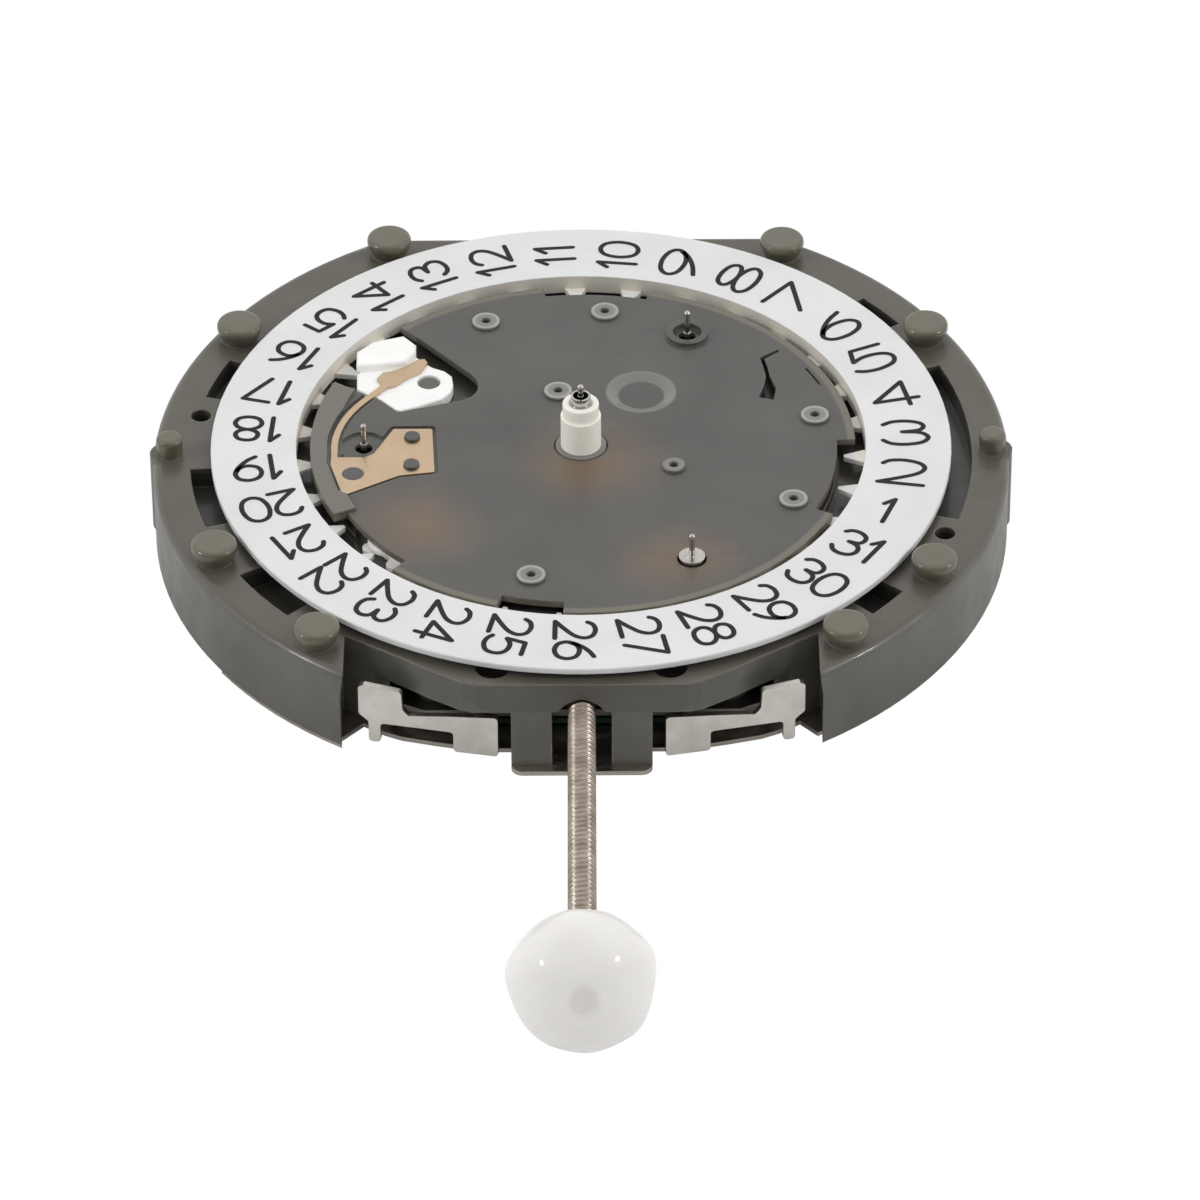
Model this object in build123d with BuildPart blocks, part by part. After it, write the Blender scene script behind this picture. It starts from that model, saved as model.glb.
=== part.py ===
from build123d import *
import os
from math import asin, atan2, cos, degrees, hypot, radians, sin, sqrt

# Frame: millimetres, origin on the hand axis at the back face, Z towards the dial,
# the stem leaves along -Y and twelve o'clock is +X.

os.makedirs("parts", exist_ok=True)

# Body
body_radius = 13.8
flat_reach = 12.1
wall_inner = 12.0
flat_wall = 0.9
back_plate_thick = 0.15
ledge_z = 2.99
floor_top = 2.70
floor_under = 2.10
ring_recess_radius = 9.95
body_bevel = 0.30
overrun = 1.0

# Heights of the calendar works
ring_top = 3.40
ring_flange_thick = 0.20
tooth_low = 2.75
tooth_thick = 0.18
guard_under = 2.99
guard_top = 3.22
lowest_floor = 2.38

# Heights of the train
board_low = 0.20
board_thick = 0.20
bridge_low = 0.50
bridge_thick = 0.25
bridge_top = bridge_low + bridge_thick

# Running fits
running = 0.05
pivot_radius = 0.06
pivot_gap = 0.04
pivot_depth = 0.14
press_gap = 0.01
arbor_radius = 0.12
stud_radius = 0.20
idler_stud_radius = 0.18

# Pegs round the rim
peg_radius = 0.73
peg_circle = 12.9
peg_top = 3.66
peg_round = 0.16
peg_root_radius = 0.58
peg_wide_z = 3.40
peg_angles = (119.7, 58.6, 150.5, 28.5, -154.2, -30.3, -129.8, -50.2)
small_peg_radius = 0.43
small_peg_circle = 13.26
small_boss_radius = 0.58
small_boss_circle = 13.33
small_peg_angles = (180.0, 0.0)

# Dial foot holes
foot_hole_radius = 0.33
foot_hole_depth = 0.85
foot_holes = ((-12.33, 2.03), (11.56, -4.51))

# Pockets in the ledge, each a start and an end angle
pocket_outer = 12.6
pocket_inner = 10.9
pocket_floor = 2.25
pocket_angles = ((156.0, 166.0), (184.0, 198.5), (211.0, 223.0), (-43.5, -36.5), (-17.5, 21.5), (33.5, 42.0))
bite_radius = 0.55
bite_place = (2.75, -11.30)
groove_floor = 2.42
groove_inner = 8.30
groove_outer = 9.30

# Stem side
front_half_width = 7.40
front_edge = ((7.40, -9.62), (6.62, -10.13), (5.58, -10.80), (4.73, -11.41), (4.17, -11.76), (3.70, -12.06),
              (3.30, -12.18))
front_flare_share = 1.016
lever_room_back = 11.10
window_back = 10.40
arch_radius = 0.88
arch_z = 1.57
front_middle_half = 4.40
front_middle_bottom = 2.05
leg_inner = 0.93
leg_outer = 2.20
leg_front = 12.62
leg_top_front = 12.37
leg_back = 10.70

# Stem and setting works
stem_z = 1.95
stem_radius = 0.45
stem_clearance = 0.08
stem_inner_end = 6.60
stem_outer_start = 12.75
stem_front_end = 23.75
stem_groove_y = 9.10
stem_groove_width = 0.44
stem_groove_radius = 0.24
square_side = 0.50
square_front = 8.35
clutch_radius = 0.62
clutch_front = 8.00
clutch_back = 7.00
clutch_groove_radius = 0.42
clutch_groove_width = 0.46
clutch_teeth = 12
clutch_tooth_depth = 0.14
stem_pull = 1.0

# Knob
knob_radius = 2.17
knob_sides = 5
knob_back = 23.10
knob_front = 27.05
knob_round_share = 0.50
knob_dimple_radius = 0.52
knob_dimple_depth = 0.30
knob_station_shares = ((0.0, 0.34), (0.16, 0.66), (0.45, 1.0), (0.72, 0.86), (0.92, 0.55), (1.0, 0.34))

# Hands
small_hand_circle = 7.0
small_hand_angles = {"six": 180.0, "ten": 60.0, "two": -60.0}
post_radius = 0.12
post_seat_radius = 0.09
seconds_radius = 0.10
seconds_seat_radius = 0.085
minute_seat_radius = 0.32
post_ball_radius = 0.11
hand_tip = {"centre": 5.62, "six": 4.10, "ten": 4.18, "two": 4.18}
flange_radius = 0.42
flange_thick = 0.12
centre_hub_radius = 0.21
centre_hub_top = 3.00
minute_pipe_top = 5.20
minute_pipe_radius = 0.34
minute_pipe_bore = 0.25
hour_pipe_top = 4.92
hour_pipe_step = 4.42
hour_pipe_radius = 0.585
hour_pipe_lower_radius = 0.65
hour_collar_radius = 0.82
hour_collar_top = 3.25

# Gear modules and tooth counts
train_module = 0.07
pinion_leaves = 8
hand_teeth = 60
reduction_teeth = 32
third_teeth = 64
idler_teeth = 20
third_angle = -35.0
centre_teeth = 60
motion_module = 0.10
cannon_teeth = 12
minute_teeth = 36
hour_module = 0.096
minute_pinion_teeth = 10
hour_teeth = 40
setting_teeth = 27
date_gear_teeth = 40
date_module = 0.39
date_pinion_teeth = 5
date_wheel_teeth = 10
date_root_share = 0.60
date_tip_share = 0.50
date_lobe = 0.25
star_lobes = 7
star_root = 1.62
star_tip = 2.10
star_lobe = 0.66
star_phase = -143.0
date_teeth = 31
tooth_share = 0.43
addendum_share = 0.90
dedendum_share = 1.15
tip_share = 0.24
root_share = 0.56

# Levels of the train wheels
third_low = 0.84
third_thick = 0.10
stator_low = 1.10
stator_thick = 0.25
core_thick = 0.25
magnet_low = 1.00
magnet_thick = 0.36
magnet_radius = 0.55
reduction_low = 1.42
reduction_thick = 0.13
hand_low = 1.66
hand_thick = 0.14
centre_low = 1.90
centre_thick = 0.12

# Places of the motion work and the date drive
minute_angle = -75.0
date_wheel_circle = 6.25
date_wheel_angle = -142.7

# Levels of the motion work
motion_low = 2.42
motion_thick = 0.14
hour_low = 2.60
hour_thick = 0.14
date_low = 2.78
date_thick = 0.17

# Motors
coil_reach = 1.90
core_half = 2.90
core_width = 0.80
winding_half = 2.10
winding_radius = 0.50
foot_half = 0.32
stator_hole = 0.72
stator_ring = 1.10
stator_arm = 0.70
motor_angles = {"centre": (35.0, -5.0, -30.0), "six": (-100.0, -60.0, 240.0)}
motor_angles["ten"] = (-30.0, 0.0, 30.0)
motor_angles["two"] = (30.0, 0.0, -30.0)

# Battery and electrics
battery_radius = 4.75
battery_height = 2.05
battery_low = 0.15
battery_at = (-3.65, 6.15)
battery_gap = 0.15
battery_bevel = 0.25
battery_cap_radius = 3.90
battery_cap_height = 0.20
clamp_width = 1.60
clamp_lug = 0.80
clamp_angle = 30.0
can_radius = 0.60
can_length = 4.0
can_at = (-2.2, -6.2)
chip_side = 2.2
chip_thick = 0.35
chip_at = (8.6, -0.4)

# Screws
screw_places = ((-10.3, 3.2), (2.2, 9.6), (10.6, -0.4), (4.6, -9.6), (-4.6, -9.6))
screw_head_radius = 0.55
screw_radius = 0.25
screw_length = 1.80
screw_post_radius = 0.60
screw_gap = 0.03
spacer_radius = 0.50

# Sheets under the floor
board_top = board_low + board_thick
bridge_radius = 11.70
board_radius = 11.40
sheet_front = 10.60
coil_window_gap = 0.12

# Back plate
plate_radius = 13.30
plate_flange_radius = 13.76
plate_flange_start = -146.0
plate_flange_sweep = 23.2
plate_front = ((-7.52, -11.20), (-6.84, -10.47), (-6.17, -10.93), (-5.63, -11.18), (-4.59, -11.45),
               (-4.06, -11.57), (-2.62, -11.78))
tongue_front = 12.95
tongue_corner = 0.35

# Guard fastenings
stake_radius = 0.46
small_stake_radius = 0.37
stake_shank = 0.24
stake_hole = 0.15
stake_rise = 0.10
stake_places = ((-3.12, 6.80), (0.80, 7.33), (-0.74, 2.89), (7.58, 1.49), (6.78, -3.03), (-1.58, -6.95))
small_stake_place = (2.98, -1.20)

# Guard plate
guard_radius = 8.85
rim_radius = 8.73
rim_inner = 7.95
rim_rise = 0.10
rim_angles = (157.0, 205.5)
guard_cuts = ((8.25, -25.1, 1.5), (8.38, 75.0, 98.0), (8.30, -107.5, -93.7), (8.24, -154.5, -132.3))
slit_inner = 8.40
slit_outer = 8.48
slit_angles = (22.6, 29.5)
jumper_opening = (
    (-9.40, 4.40), (-9.40, 6.60), (-7.20, 8.20), (-5.79, 6.42), (-5.22, 5.85), (-4.36, 4.84), (-3.58, 3.92),
    (-3.42, 3.66), (-3.34, 3.34), (-3.37, 3.00), (-3.54, 2.69), (-3.87, 2.49), (-5.93, 1.85), (-6.73, 2.74),
    (-7.62, 3.13), (-8.30, 3.60),
)
flex_slot = (
    (5.86, 4.76), (6.44, 5.22), (6.53, 5.13), (6.01, 4.69), (6.09, 4.34), (6.17, 3.73), (6.36, 3.06),
    (6.26, 2.42), (5.78, 2.56), (5.97, 3.23), (6.04, 3.73), (5.95, 4.34),
)
boss_radius = 0.69
boss_bore = 0.47
boss_rise = 0.14
post_hole_radius = 0.28
dimple_at = (1.96, 2.90)
dimple_top_radius = 1.07
dimple_floor_radius = 0.78
dimple_depth = 0.14

# Jumper spring
spring_low = 3.13
spring_thick = 0.07
spring_recess_gap = 0.12
six_recess_radius = 0.78
spring_stud_radius = 0.25
spring_stud_rise = 0.09
spring_studs = ((-5.45, 0.48), (-5.45, -1.01))
spring_rivet = (-7.32, -1.45)
spring_rivet_radius = 0.34
spring_plate = (
    (-6.06, 0.96), (-4.81, 0.96), (-4.70, -1.38), (-5.84, -1.56), (-7.48, -2.53), (-7.68, -2.40),
    (-8.05, -0.98), (-8.04, 0.18), (-7.84, 0.18), (-7.84, -0.56), (-6.97, -0.57), (-6.68, -0.38),
    (-6.47, 0.06),
)
spring_corner = 0.08
spring_corner_x = -4.90
arm_width = 0.22
arm_points = ((-7.94, -0.30), (-7.90, 0.60), (-7.37, 2.05), (-6.62, 3.05), (-6.30, 3.45))
spring_head = (
    (-6.66, 3.72), (-6.46, 4.08), (-6.17, 4.16), (-5.78, 4.36), (-5.34, 4.78), (-5.12, 4.82),
    (-5.01, 4.60), (-5.25, 4.08), (-5.70, 3.74), (-6.06, 3.34), (-6.41, 3.24),
)

# Date jumper
jumper_at = (-4.96, 3.63)
jumper_bore = 0.38
jumper_low = 2.78
jumper_body_top = 3.12
jumper_block_top = 3.38
jumper_reach = 8.38
jumper_bevel = 0.06
jumper_body = (
    (-7.33, 5.03), (-7.30, 3.30), (-7.20, 3.16), (-6.56, 2.71), (-6.02, 2.10), (-5.86, 2.06), (-5.23, 2.31),
    (-4.52, 2.69), (-4.24, 3.05), (-4.16, 3.45), (-4.21, 3.96), (-4.45, 4.25), (-4.87, 4.47), (-5.40, 5.05),
    (-5.40, 5.40), (-5.81, 5.91), (-6.82, 5.58),
)
jumper_block = (
    (-7.33, 4.19), (-6.45, 4.29), (-6.17, 4.34), (-5.72, 4.45), (-5.40, 4.95), (-5.40, 5.40), (-5.81, 5.91),
    (-6.82, 5.58), (-7.33, 5.03),
)

# Date ring
ring_outer = 11.93
ring_inner = 9.18
ring_hub_outer = 9.60
ring_edge_round = 0.05
tooth_tip_circle = 8.47
tooth_base_half = 0.38
tooth_tip_half = 0.06
tooth_phase = -1.8

# Setting lever and yoke
lever_low = 0.95
lever_thick = 0.20
lever_eye = 0.45
lever_post_radius = 0.20
lever_pivot = (-2.80, -9.60)
lever_pin_radius = 0.15
yoke_pivot = (2.60, -9.00)
fork_radius = 0.12

# Push levers, profile along the sheet and up from the back
push_thick = 0.20
push_near = (2.60, -12.15)
push_far = (6.95, -11.30)
push_profile = (
    (0.00, 0.20), (0.00, 1.72), (1.50, 1.57), (2.84, 1.40), (3.02, 1.62), (3.06, 2.30), (4.25, 2.44),
    (4.43, 2.34), (4.43, 1.30), (4.12, 1.02), (4.12, 0.24), (3.74, 0.24), (3.74, 0.98), (1.42, 0.95),
    (1.42, 0.20),
)
push_corner = 0.12
push_pivot = (3.30, -11.30)
push_post_radius = 0.22
push_foot = 0.20
push_foot_low = 0.22
push_foot_front = 12.00
push_eye = 0.50


def on_circle(radius, angle, centre=(0, 0)):
    """Point at a radius and an angle in degrees from a centre."""
    x = centre[0] + radius * cos(radians(angle))
    y = centre[1] + radius * sin(radians(angle))
    return (x, y)


def bearing(start, end):
    """Angle in degrees from one point to another."""
    return degrees(atan2(end[1] - start[1], end[0] - start[0]))


def triangle_corner(a, b, from_a, from_b, side):
    """Point at two distances from two points, on the chosen side of the line from a to b."""
    span = hypot(b[0] - a[0], b[1] - a[1])
    along = (span**2 + from_a**2 - from_b**2) / (2 * span)
    away = sqrt(from_a**2 - along**2)
    ux, uy = (b[0] - a[0]) / span, (b[1] - a[1]) / span
    return (a[0] + ux * along - side * uy * away, a[1] + uy * along + side * ux * away)


def disc(z_low, z_high, radius, places=((0, 0),), mode=Mode.ADD):
    """Round plates or holes of one radius between two heights, in the part being built."""
    with BuildSketch(Plane.XY.offset(z_low)) as shape:
        with Locations(*places):
            Circle(radius)
    extrude(shape.sketch, amount=z_high - z_low, mode=mode)


def block(z_low, z_high, x_low, x_high, y_low, y_high, mode=Mode.ADD):
    """Square-edged block between two corners, in the part being built."""
    with BuildSketch(Plane.XY.offset(z_low)) as shape:
        with Locations(((x_low + x_high) / 2, (y_low + y_high) / 2)):
            Rectangle(x_high - x_low, y_high - y_low)
    extrude(shape.sketch, amount=z_high - z_low, mode=mode)


def outline(z_low, z_high, points, mode=Mode.ADD):
    """Straight-sided plate through its corner points, in the part being built."""
    with BuildSketch(Plane.XY.offset(z_low)) as shape:
        with BuildLine():
            Polyline(*points, close=True)
        make_face()
    extrude(shape.sketch, amount=z_high - z_low, mode=mode)


def sector(z_low, z_high, inner, outer, start, end, mode=Mode.ADD):
    """Part of a ring between two angles, in the part being built."""
    with BuildSketch(Plane.XY.offset(z_low)) as shape:
        with BuildLine():
            far = CenterArc((0, 0), outer, start, end - start)
            near = CenterArc((0, 0), inner, start, end - start)
            Line(far @ 0, near @ 0)
            Line(far @ 1, near @ 1)
        make_face()
    extrude(shape.sketch, amount=z_high - z_low, mode=mode)


def bar(z_low, z_high, centre, half_length, width, angle, mode=Mode.ADD):
    """Bar centred at a point and turned in plan, in the part being built."""
    with BuildSketch(Plane.XY.offset(z_low)) as shape:
        with Locations(Location((centre[0], centre[1], 0), (0, 0, angle))):
            Rectangle(2 * half_length, width)
    extrude(shape.sketch, amount=z_high - z_low, mode=mode)


def cone(z_low, z_high, radius_low, radius_high, place, mode=Mode.ADD):
    """Tapered round plug or hole, in the part being built."""
    with BuildSketch(Plane.XY.offset(z_low)) as low:
        with Locations(place):
            Circle(radius_low)
    with BuildSketch(Plane.XY.offset(z_high)) as high:
        with Locations(place):
            Circle(radius_high)
    loft([low.sketch.face(), high.sketch.face()], mode=mode)


def taper(z_low, z_high, low_points, high_points, mode=Mode.ADD):
    """Straight-sided plate whose outline changes evenly between two heights, in the part being built."""
    with BuildSketch(Plane.XY.offset(z_low)) as low:
        with BuildLine():
            Polyline(*low_points, close=True)
        make_face()
    with BuildSketch(Plane.XY.offset(z_high)) as high:
        with BuildLine():
            Polyline(*high_points, close=True)
        make_face()
    loft([low.sketch.face(), high.sketch.face()], ruled=True, mode=mode)


def corners(x_low, x_high, y_low, y_high):
    """Corner points of an upright rectangle in plan."""
    return ((x_low, y_low), (x_high, y_low), (x_high, y_high), (x_low, y_high))


def rod(y_start, y_end, radius, height, mode=Mode.ADD):
    """Round bar along the stem's line, y counted outward, in the part being built."""
    with BuildSketch(Plane.XZ.offset(y_start)) as shape:
        with Locations((0, height)):
            Circle(radius)
    extrude(shape.sketch, amount=y_end - y_start, mode=mode)


def lobes(z_low, thick, centre, teeth, root, tip, half_width, phase):
    """Wheel with a few broad round-ended teeth, in the part being built."""
    disc(z_low, z_low + thick, root, (centre,))
    for index in range(teeth):
        angle = phase + index * 360 / teeth
        nose = on_circle(tip - half_width, angle, centre)
        middle = on_circle((tip - half_width) / 2, angle, centre)
        disc(z_low, z_low + thick, half_width, (nose,))
        bar(z_low, z_low + thick, middle, (tip - half_width) / 2, 2 * half_width, angle)


def pitch_radius(teeth, module):
    """Pitch circle radius of a gear."""
    return teeth * module / 2


def gear(z_low, thick, centre, teeth, module, phase, root=dedendum_share):
    """Spur gear with one tooth at the phase angle, in the part being built."""
    pitch = 360 / teeth
    radius = pitch_radius(teeth, module)
    points = []
    for index in range(teeth):
        middle = phase + index * pitch
        shape = ((radius - root * module, root_share), (radius, tooth_share))
        shape = shape + ((radius + addendum_share * module, tip_share),)
        for r, share in shape:
            points.append(on_circle(r, middle - share * pitch / 2, centre))
        for r, share in reversed(shape):
            points.append(on_circle(r, middle + share * pitch / 2, centre))
    outline(z_low, z_low + thick, points)


def meshing_phase(centre, teeth, phase, other_centre, other_teeth):
    """Phase that puts another gear's gap on this gear's tooth."""
    line = bearing(centre, other_centre)
    lead = ((line - phase) / (360 / teeth)) % 1
    return line + 180 + (lead + 0.5) * 360 / other_teeth


def shaft(z_low, z_high, radius, centre, pivot_below=0, pivot_above=0):
    """Round shaft with thinner pivots at its ends, in the part being built."""
    disc(z_low, z_high, radius, (centre,))
    if pivot_below:
        disc(z_low - pivot_below, z_low, pivot_radius, (centre,))
    if pivot_above:
        disc(z_high, z_high + pivot_above, pivot_radius, (centre,))


def save(part, name):
    """Label a finished piece and write it."""
    part.label = name
    export_step(part, "parts/" + name + ".step")


# Places of the train wheels
hand_at = {"centre": (0, 0)}
for hour, angle in small_hand_angles.items():
    hand_at[hour] = on_circle(small_hand_circle, angle)
leaf_radius = pitch_radius(pinion_leaves, train_module)
reduction_reach = pitch_radius(hand_teeth, train_module) + leaf_radius
rotor_reach = pitch_radius(reduction_teeth, train_module) + leaf_radius
reduction_at, rotor_at, coil_at = {}, {}, {}
for hour, (to_reduction, to_rotor, to_coil) in motor_angles.items():
    reduction_at[hour] = on_circle(reduction_reach, to_reduction, hand_at[hour])
    rotor_at[hour] = on_circle(rotor_reach, to_rotor, reduction_at[hour])
    coil_at[hour] = on_circle(coil_reach, to_coil, rotor_at[hour])

third_at = on_circle(pitch_radius(third_teeth, train_module) + leaf_radius, third_angle, hand_at["six"])
idler_radius = pitch_radius(idler_teeth, train_module)
near_idler_reach = pitch_radius(centre_teeth, train_module) + idler_radius
near_idler_at = on_circle(near_idler_reach, bearing((0, 0), third_at))
far_idler_at = triangle_corner(near_idler_at, third_at, 2 * idler_radius, leaf_radius + idler_radius, 1)

# Places of the motion work and the date drive
minute_at = on_circle(pitch_radius(cannon_teeth + minute_teeth, motion_module), minute_angle)
setting_reach = pitch_radius(setting_teeth + minute_teeth, motion_module)
setting_at = (0, minute_at[1] - sqrt(setting_reach**2 - minute_at[0] ** 2))
date_wheel_at = on_circle(date_wheel_circle, date_wheel_angle)
date_idler_from_hour = pitch_radius(hour_teeth + date_gear_teeth, hour_module)
date_idler_from_wheel = pitch_radius(date_pinion_teeth + date_wheel_teeth, date_module)
date_idler_at = triangle_corner((0, 0), date_wheel_at, date_idler_from_hour, date_idler_from_wheel, -1)

# Main plate: floor, wall, ledge and everything moulded with them
stakes = stake_places + (small_stake_place,)
peg_places = [on_circle(peg_circle, angle) for angle in peg_angles]
small_peg_places = [on_circle(small_peg_circle, angle) for angle in small_peg_angles]
small_boss_places = [on_circle(small_boss_circle, angle) for angle in small_peg_angles]
wheel_bearings = list(reduction_at.values()) + list(rotor_at.values()) + [third_at]
small_hand_places = [hand_at[hour] for hour in small_hand_angles]
lever_posts = [(side * push_pivot[0], push_pivot[1]) for side in (-1, 1)]
tooth_room = addendum_share * motion_module + 2 * running
hour_room = pitch_radius(hour_teeth, hour_module) + tooth_room
minute_room = pitch_radius(minute_teeth, motion_module) + tooth_room
setting_room = pitch_radius(setting_teeth, motion_module) + tooth_room
date_idler_room = pitch_radius(date_gear_teeth, hour_module) + tooth_room
pinion_room = pitch_radius(date_pinion_teeth, date_module) + date_tip_share * date_module + 2 * running
date_wheel_room = pitch_radius(date_wheel_teeth, date_module) + date_tip_share * date_module + 2 * running
battery_top = battery_low + battery_height
with BuildPart() as main_plate:
    with BuildSketch(Plane.XY.offset(back_plate_thick)):
        Circle(body_radius)
        with Locations((0, flat_reach + body_radius)):
            Rectangle(2 * body_radius, 2 * body_radius, mode=Mode.SUBTRACT)
    extrude(amount=ledge_z - back_plate_thick)
    fillet(main_plate.edges().group_by(Axis.Z)[-1], body_bevel)
    disc(back_plate_thick, ledge_z, small_boss_radius, small_boss_places)
    with BuildSketch(Plane.XY.offset(back_plate_thick)):
        Circle(wall_inner)
        with Locations((0, flat_reach - flat_wall + body_radius)):
            Rectangle(2 * body_radius, 2 * body_radius, mode=Mode.SUBTRACT)
    extrude(amount=floor_under - back_plate_thick, mode=Mode.SUBTRACT)
    disc(floor_top, ledge_z + overrun, ring_recess_radius, mode=Mode.SUBTRACT)
    # Stem side, a leaning wall cut back behind the push levers
    wide = front_half_width
    right = [(x, y) for x, y in reversed(front_edge)]
    left = [(-x, y) for x, y in front_edge]
    beyond = [(wide, -2 * body_radius), (-wide, -2 * body_radius)]
    flared = [(x * front_flare_share, y * front_flare_share) for x, y in left + right]
    flared = flared + [(x * front_flare_share, y) for x, y in beyond]
    taper(front_middle_bottom, ledge_z + running, flared, left + right + beyond, Mode.SUBTRACT)
    outline(back_plate_thick, front_middle_bottom, flared, Mode.SUBTRACT)
    away = -2 * body_radius
    block(back_plate_thick, front_middle_bottom, -wide, wide, away, -lever_room_back, Mode.SUBTRACT)
    for side in (-1, 1):
        near, far = sorted((side * front_middle_half, side * wide))
        block(back_plate_thick, front_middle_bottom, near, far, away, -window_back, Mode.SUBTRACT)
        near, far = sorted((side * leg_inner, side * leg_outer))
        foot = corners(near, far, -leg_front, -leg_back)
        head = corners(near, far, -leg_top_front, -leg_back)
        taper(back_plate_thick, floor_under + running, foot, head)
    rod(window_back, body_radius, arch_radius, arch_z, Mode.SUBTRACT)
    # Channel for the stem and window for its clutch wheel
    rod(stem_inner_end - 2 * running, body_radius, stem_radius + stem_clearance, stem_z, Mode.SUBTRACT)
    window = clutch_radius + 2 * running
    block(floor_under - running, ledge_z, -window, window,
          -clutch_front - 2 * running, -clutch_back + 2 * running, Mode.SUBTRACT)
    # Recesses for the motion work
    disc(lowest_floor, floor_top + overrun, hour_room, mode=Mode.SUBTRACT)
    disc(lowest_floor, floor_top + overrun, minute_room, (minute_at,), Mode.SUBTRACT)
    disc(lowest_floor, floor_top + overrun, setting_room, (setting_at,), Mode.SUBTRACT)
    disc(hour_low - running, floor_top + overrun, date_idler_room, (date_idler_at,), Mode.SUBTRACT)
    disc(lowest_floor, floor_top + overrun, pinion_room, (date_idler_at,), Mode.SUBTRACT)
    disc(lowest_floor, floor_top + overrun, date_wheel_room, (date_wheel_at,), Mode.SUBTRACT)
    # Groove under the teeth of the date ring
    with BuildSketch(Plane.XY.offset(groove_floor)):
        Circle(groove_outer)
        Circle(groove_inner, mode=Mode.SUBTRACT)
    extrude(amount=floor_top - groove_floor + running, mode=Mode.SUBTRACT)
    # Battery pocket under the floor
    pocket_radius = battery_radius + battery_gap
    disc(floor_under - overrun, battery_top + running, pocket_radius, (battery_at,), Mode.SUBTRACT)
    # Pockets beside the ring
    for start, end in pocket_angles:
        sector(pocket_floor, ledge_z + overrun, pocket_inner, pocket_outer, start, end, Mode.SUBTRACT)
    bites = (bite_place, (-bite_place[0], bite_place[1]))
    disc(pocket_floor, ledge_z + overrun, bite_radius, bites, Mode.SUBTRACT)
    # Pegs
    disc(pocket_floor, ledge_z, peg_root_radius, peg_places)
    for place in peg_places:
        cone(ledge_z, peg_wide_z, peg_root_radius, peg_radius, place)
    disc(peg_wide_z, peg_top, peg_radius, peg_places)
    disc(pocket_floor, peg_top, small_peg_radius, small_peg_places)
    fillet(main_plate.edges().group_by(Axis.Z)[-1], peg_round)
    # Dial foot holes
    disc(ledge_z - foot_hole_depth, ledge_z + overrun, foot_hole_radius, foot_holes, Mode.SUBTRACT)
    # Pillars and stakes that hold the guard
    disc(lowest_floor - running, guard_under, stake_radius, stakes)
    disc(guard_under, guard_top, stake_shank, stakes)
    disc(guard_top, guard_top + stake_rise, stake_radius, stake_places)
    disc(guard_top, guard_top + stake_rise, small_stake_radius, (small_stake_place,))
    disc(guard_top - stake_rise, guard_top + overrun, stake_hole, stakes, Mode.SUBTRACT)
    # Studs for the wheels above and below the floor
    disc(lowest_floor - running, motion_low + motion_thick, stud_radius, (minute_at, setting_at))
    disc(lowest_floor - running, date_low + date_thick, stud_radius, (date_idler_at, date_wheel_at))
    disc(floor_top - running, jumper_body_top - running, jumper_bore - running, (jumper_at,))
    idlers = (near_idler_at, far_idler_at)
    disc(centre_low - running, floor_under + running, idler_stud_radius, idlers)
    disc(centre_low - 2 * running, centre_low - running, idler_stud_radius + running, idlers)
    disc(back_plate_thick, front_middle_bottom + running, push_post_radius, lever_posts)
    # Screw posts and bearing holes
    disc(bridge_top, floor_under + running, screw_post_radius, screw_places)
    disc(bridge_top, screw_length + running, screw_radius + press_gap, screw_places, Mode.SUBTRACT)
    bearing_top = floor_under + pivot_depth
    disc(floor_under - running, bearing_top, pivot_radius + pivot_gap, wheel_bearings, Mode.SUBTRACT)
    disc(floor_under - running, ledge_z, post_radius + running, small_hand_places, Mode.SUBTRACT)
    disc(floor_under - running, ledge_z, minute_pipe_radius + running, mode=Mode.SUBTRACT)
save(main_plate.part, "main_plate")

# Date guard plate
hole_low, hole_high = guard_under - overrun, guard_top + overrun
with BuildPart() as date_guard:
    disc(guard_under, guard_top, guard_radius)
    for radius, start, end in guard_cuts:
        sector(hole_low, hole_high, radius, body_radius, start, end, Mode.SUBTRACT)
    sector(hole_low, hole_high, rim_radius, body_radius, *rim_angles, Mode.SUBTRACT)
    sector(guard_top - running, guard_top + rim_rise, rim_inner, rim_radius, *rim_angles)
    sector(hole_low, hole_high, slit_inner, slit_outer, *slit_angles, Mode.SUBTRACT)
    outline(hole_low, hole_high, jumper_opening, Mode.SUBTRACT)
    outline(hole_low, hole_high, flex_slot, Mode.SUBTRACT)
    with BuildSketch(Plane.XY.offset(spring_low)) as recess:
        with BuildLine():
            Polyline(*spring_plate, close=True)
        make_face()
        offset(amount=spring_recess_gap, kind=Kind.ARC)
        with BuildLine():
            Spline(*arm_points)
        trace(line_width=arm_width + 2 * spring_recess_gap)
        with Locations(hand_at["six"]):
            Circle(six_recess_radius)
    extrude(amount=overrun, mode=Mode.SUBTRACT)
    spring_top = spring_low + spring_thick
    disc(spring_low - running, spring_top + spring_stud_rise, spring_stud_radius, spring_studs)
    disc(spring_low - running, spring_low + spring_thick, spring_rivet_radius, (spring_rivet,))
    disc(guard_top - running, guard_top + boss_rise, boss_radius, (hand_at["ten"],))
    disc(guard_top - running, guard_top + overrun, boss_bore, (hand_at["ten"],), Mode.SUBTRACT)
    dimple_low = guard_top - dimple_depth
    cone(dimple_low, guard_top, dimple_floor_radius, dimple_top_radius, dimple_at, Mode.SUBTRACT)
    disc(hole_low, hole_high, stake_shank + press_gap, stakes, Mode.SUBTRACT)
    disc(hole_low, hole_high, hour_collar_radius + running, mode=Mode.SUBTRACT)
    disc(hole_low, hole_high, post_hole_radius, (hand_at["six"], hand_at["ten"]), Mode.SUBTRACT)
    disc(hole_low, hole_high, boss_bore, (hand_at["two"],), Mode.SUBTRACT)
save(date_guard.part, "date_guard")

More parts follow.
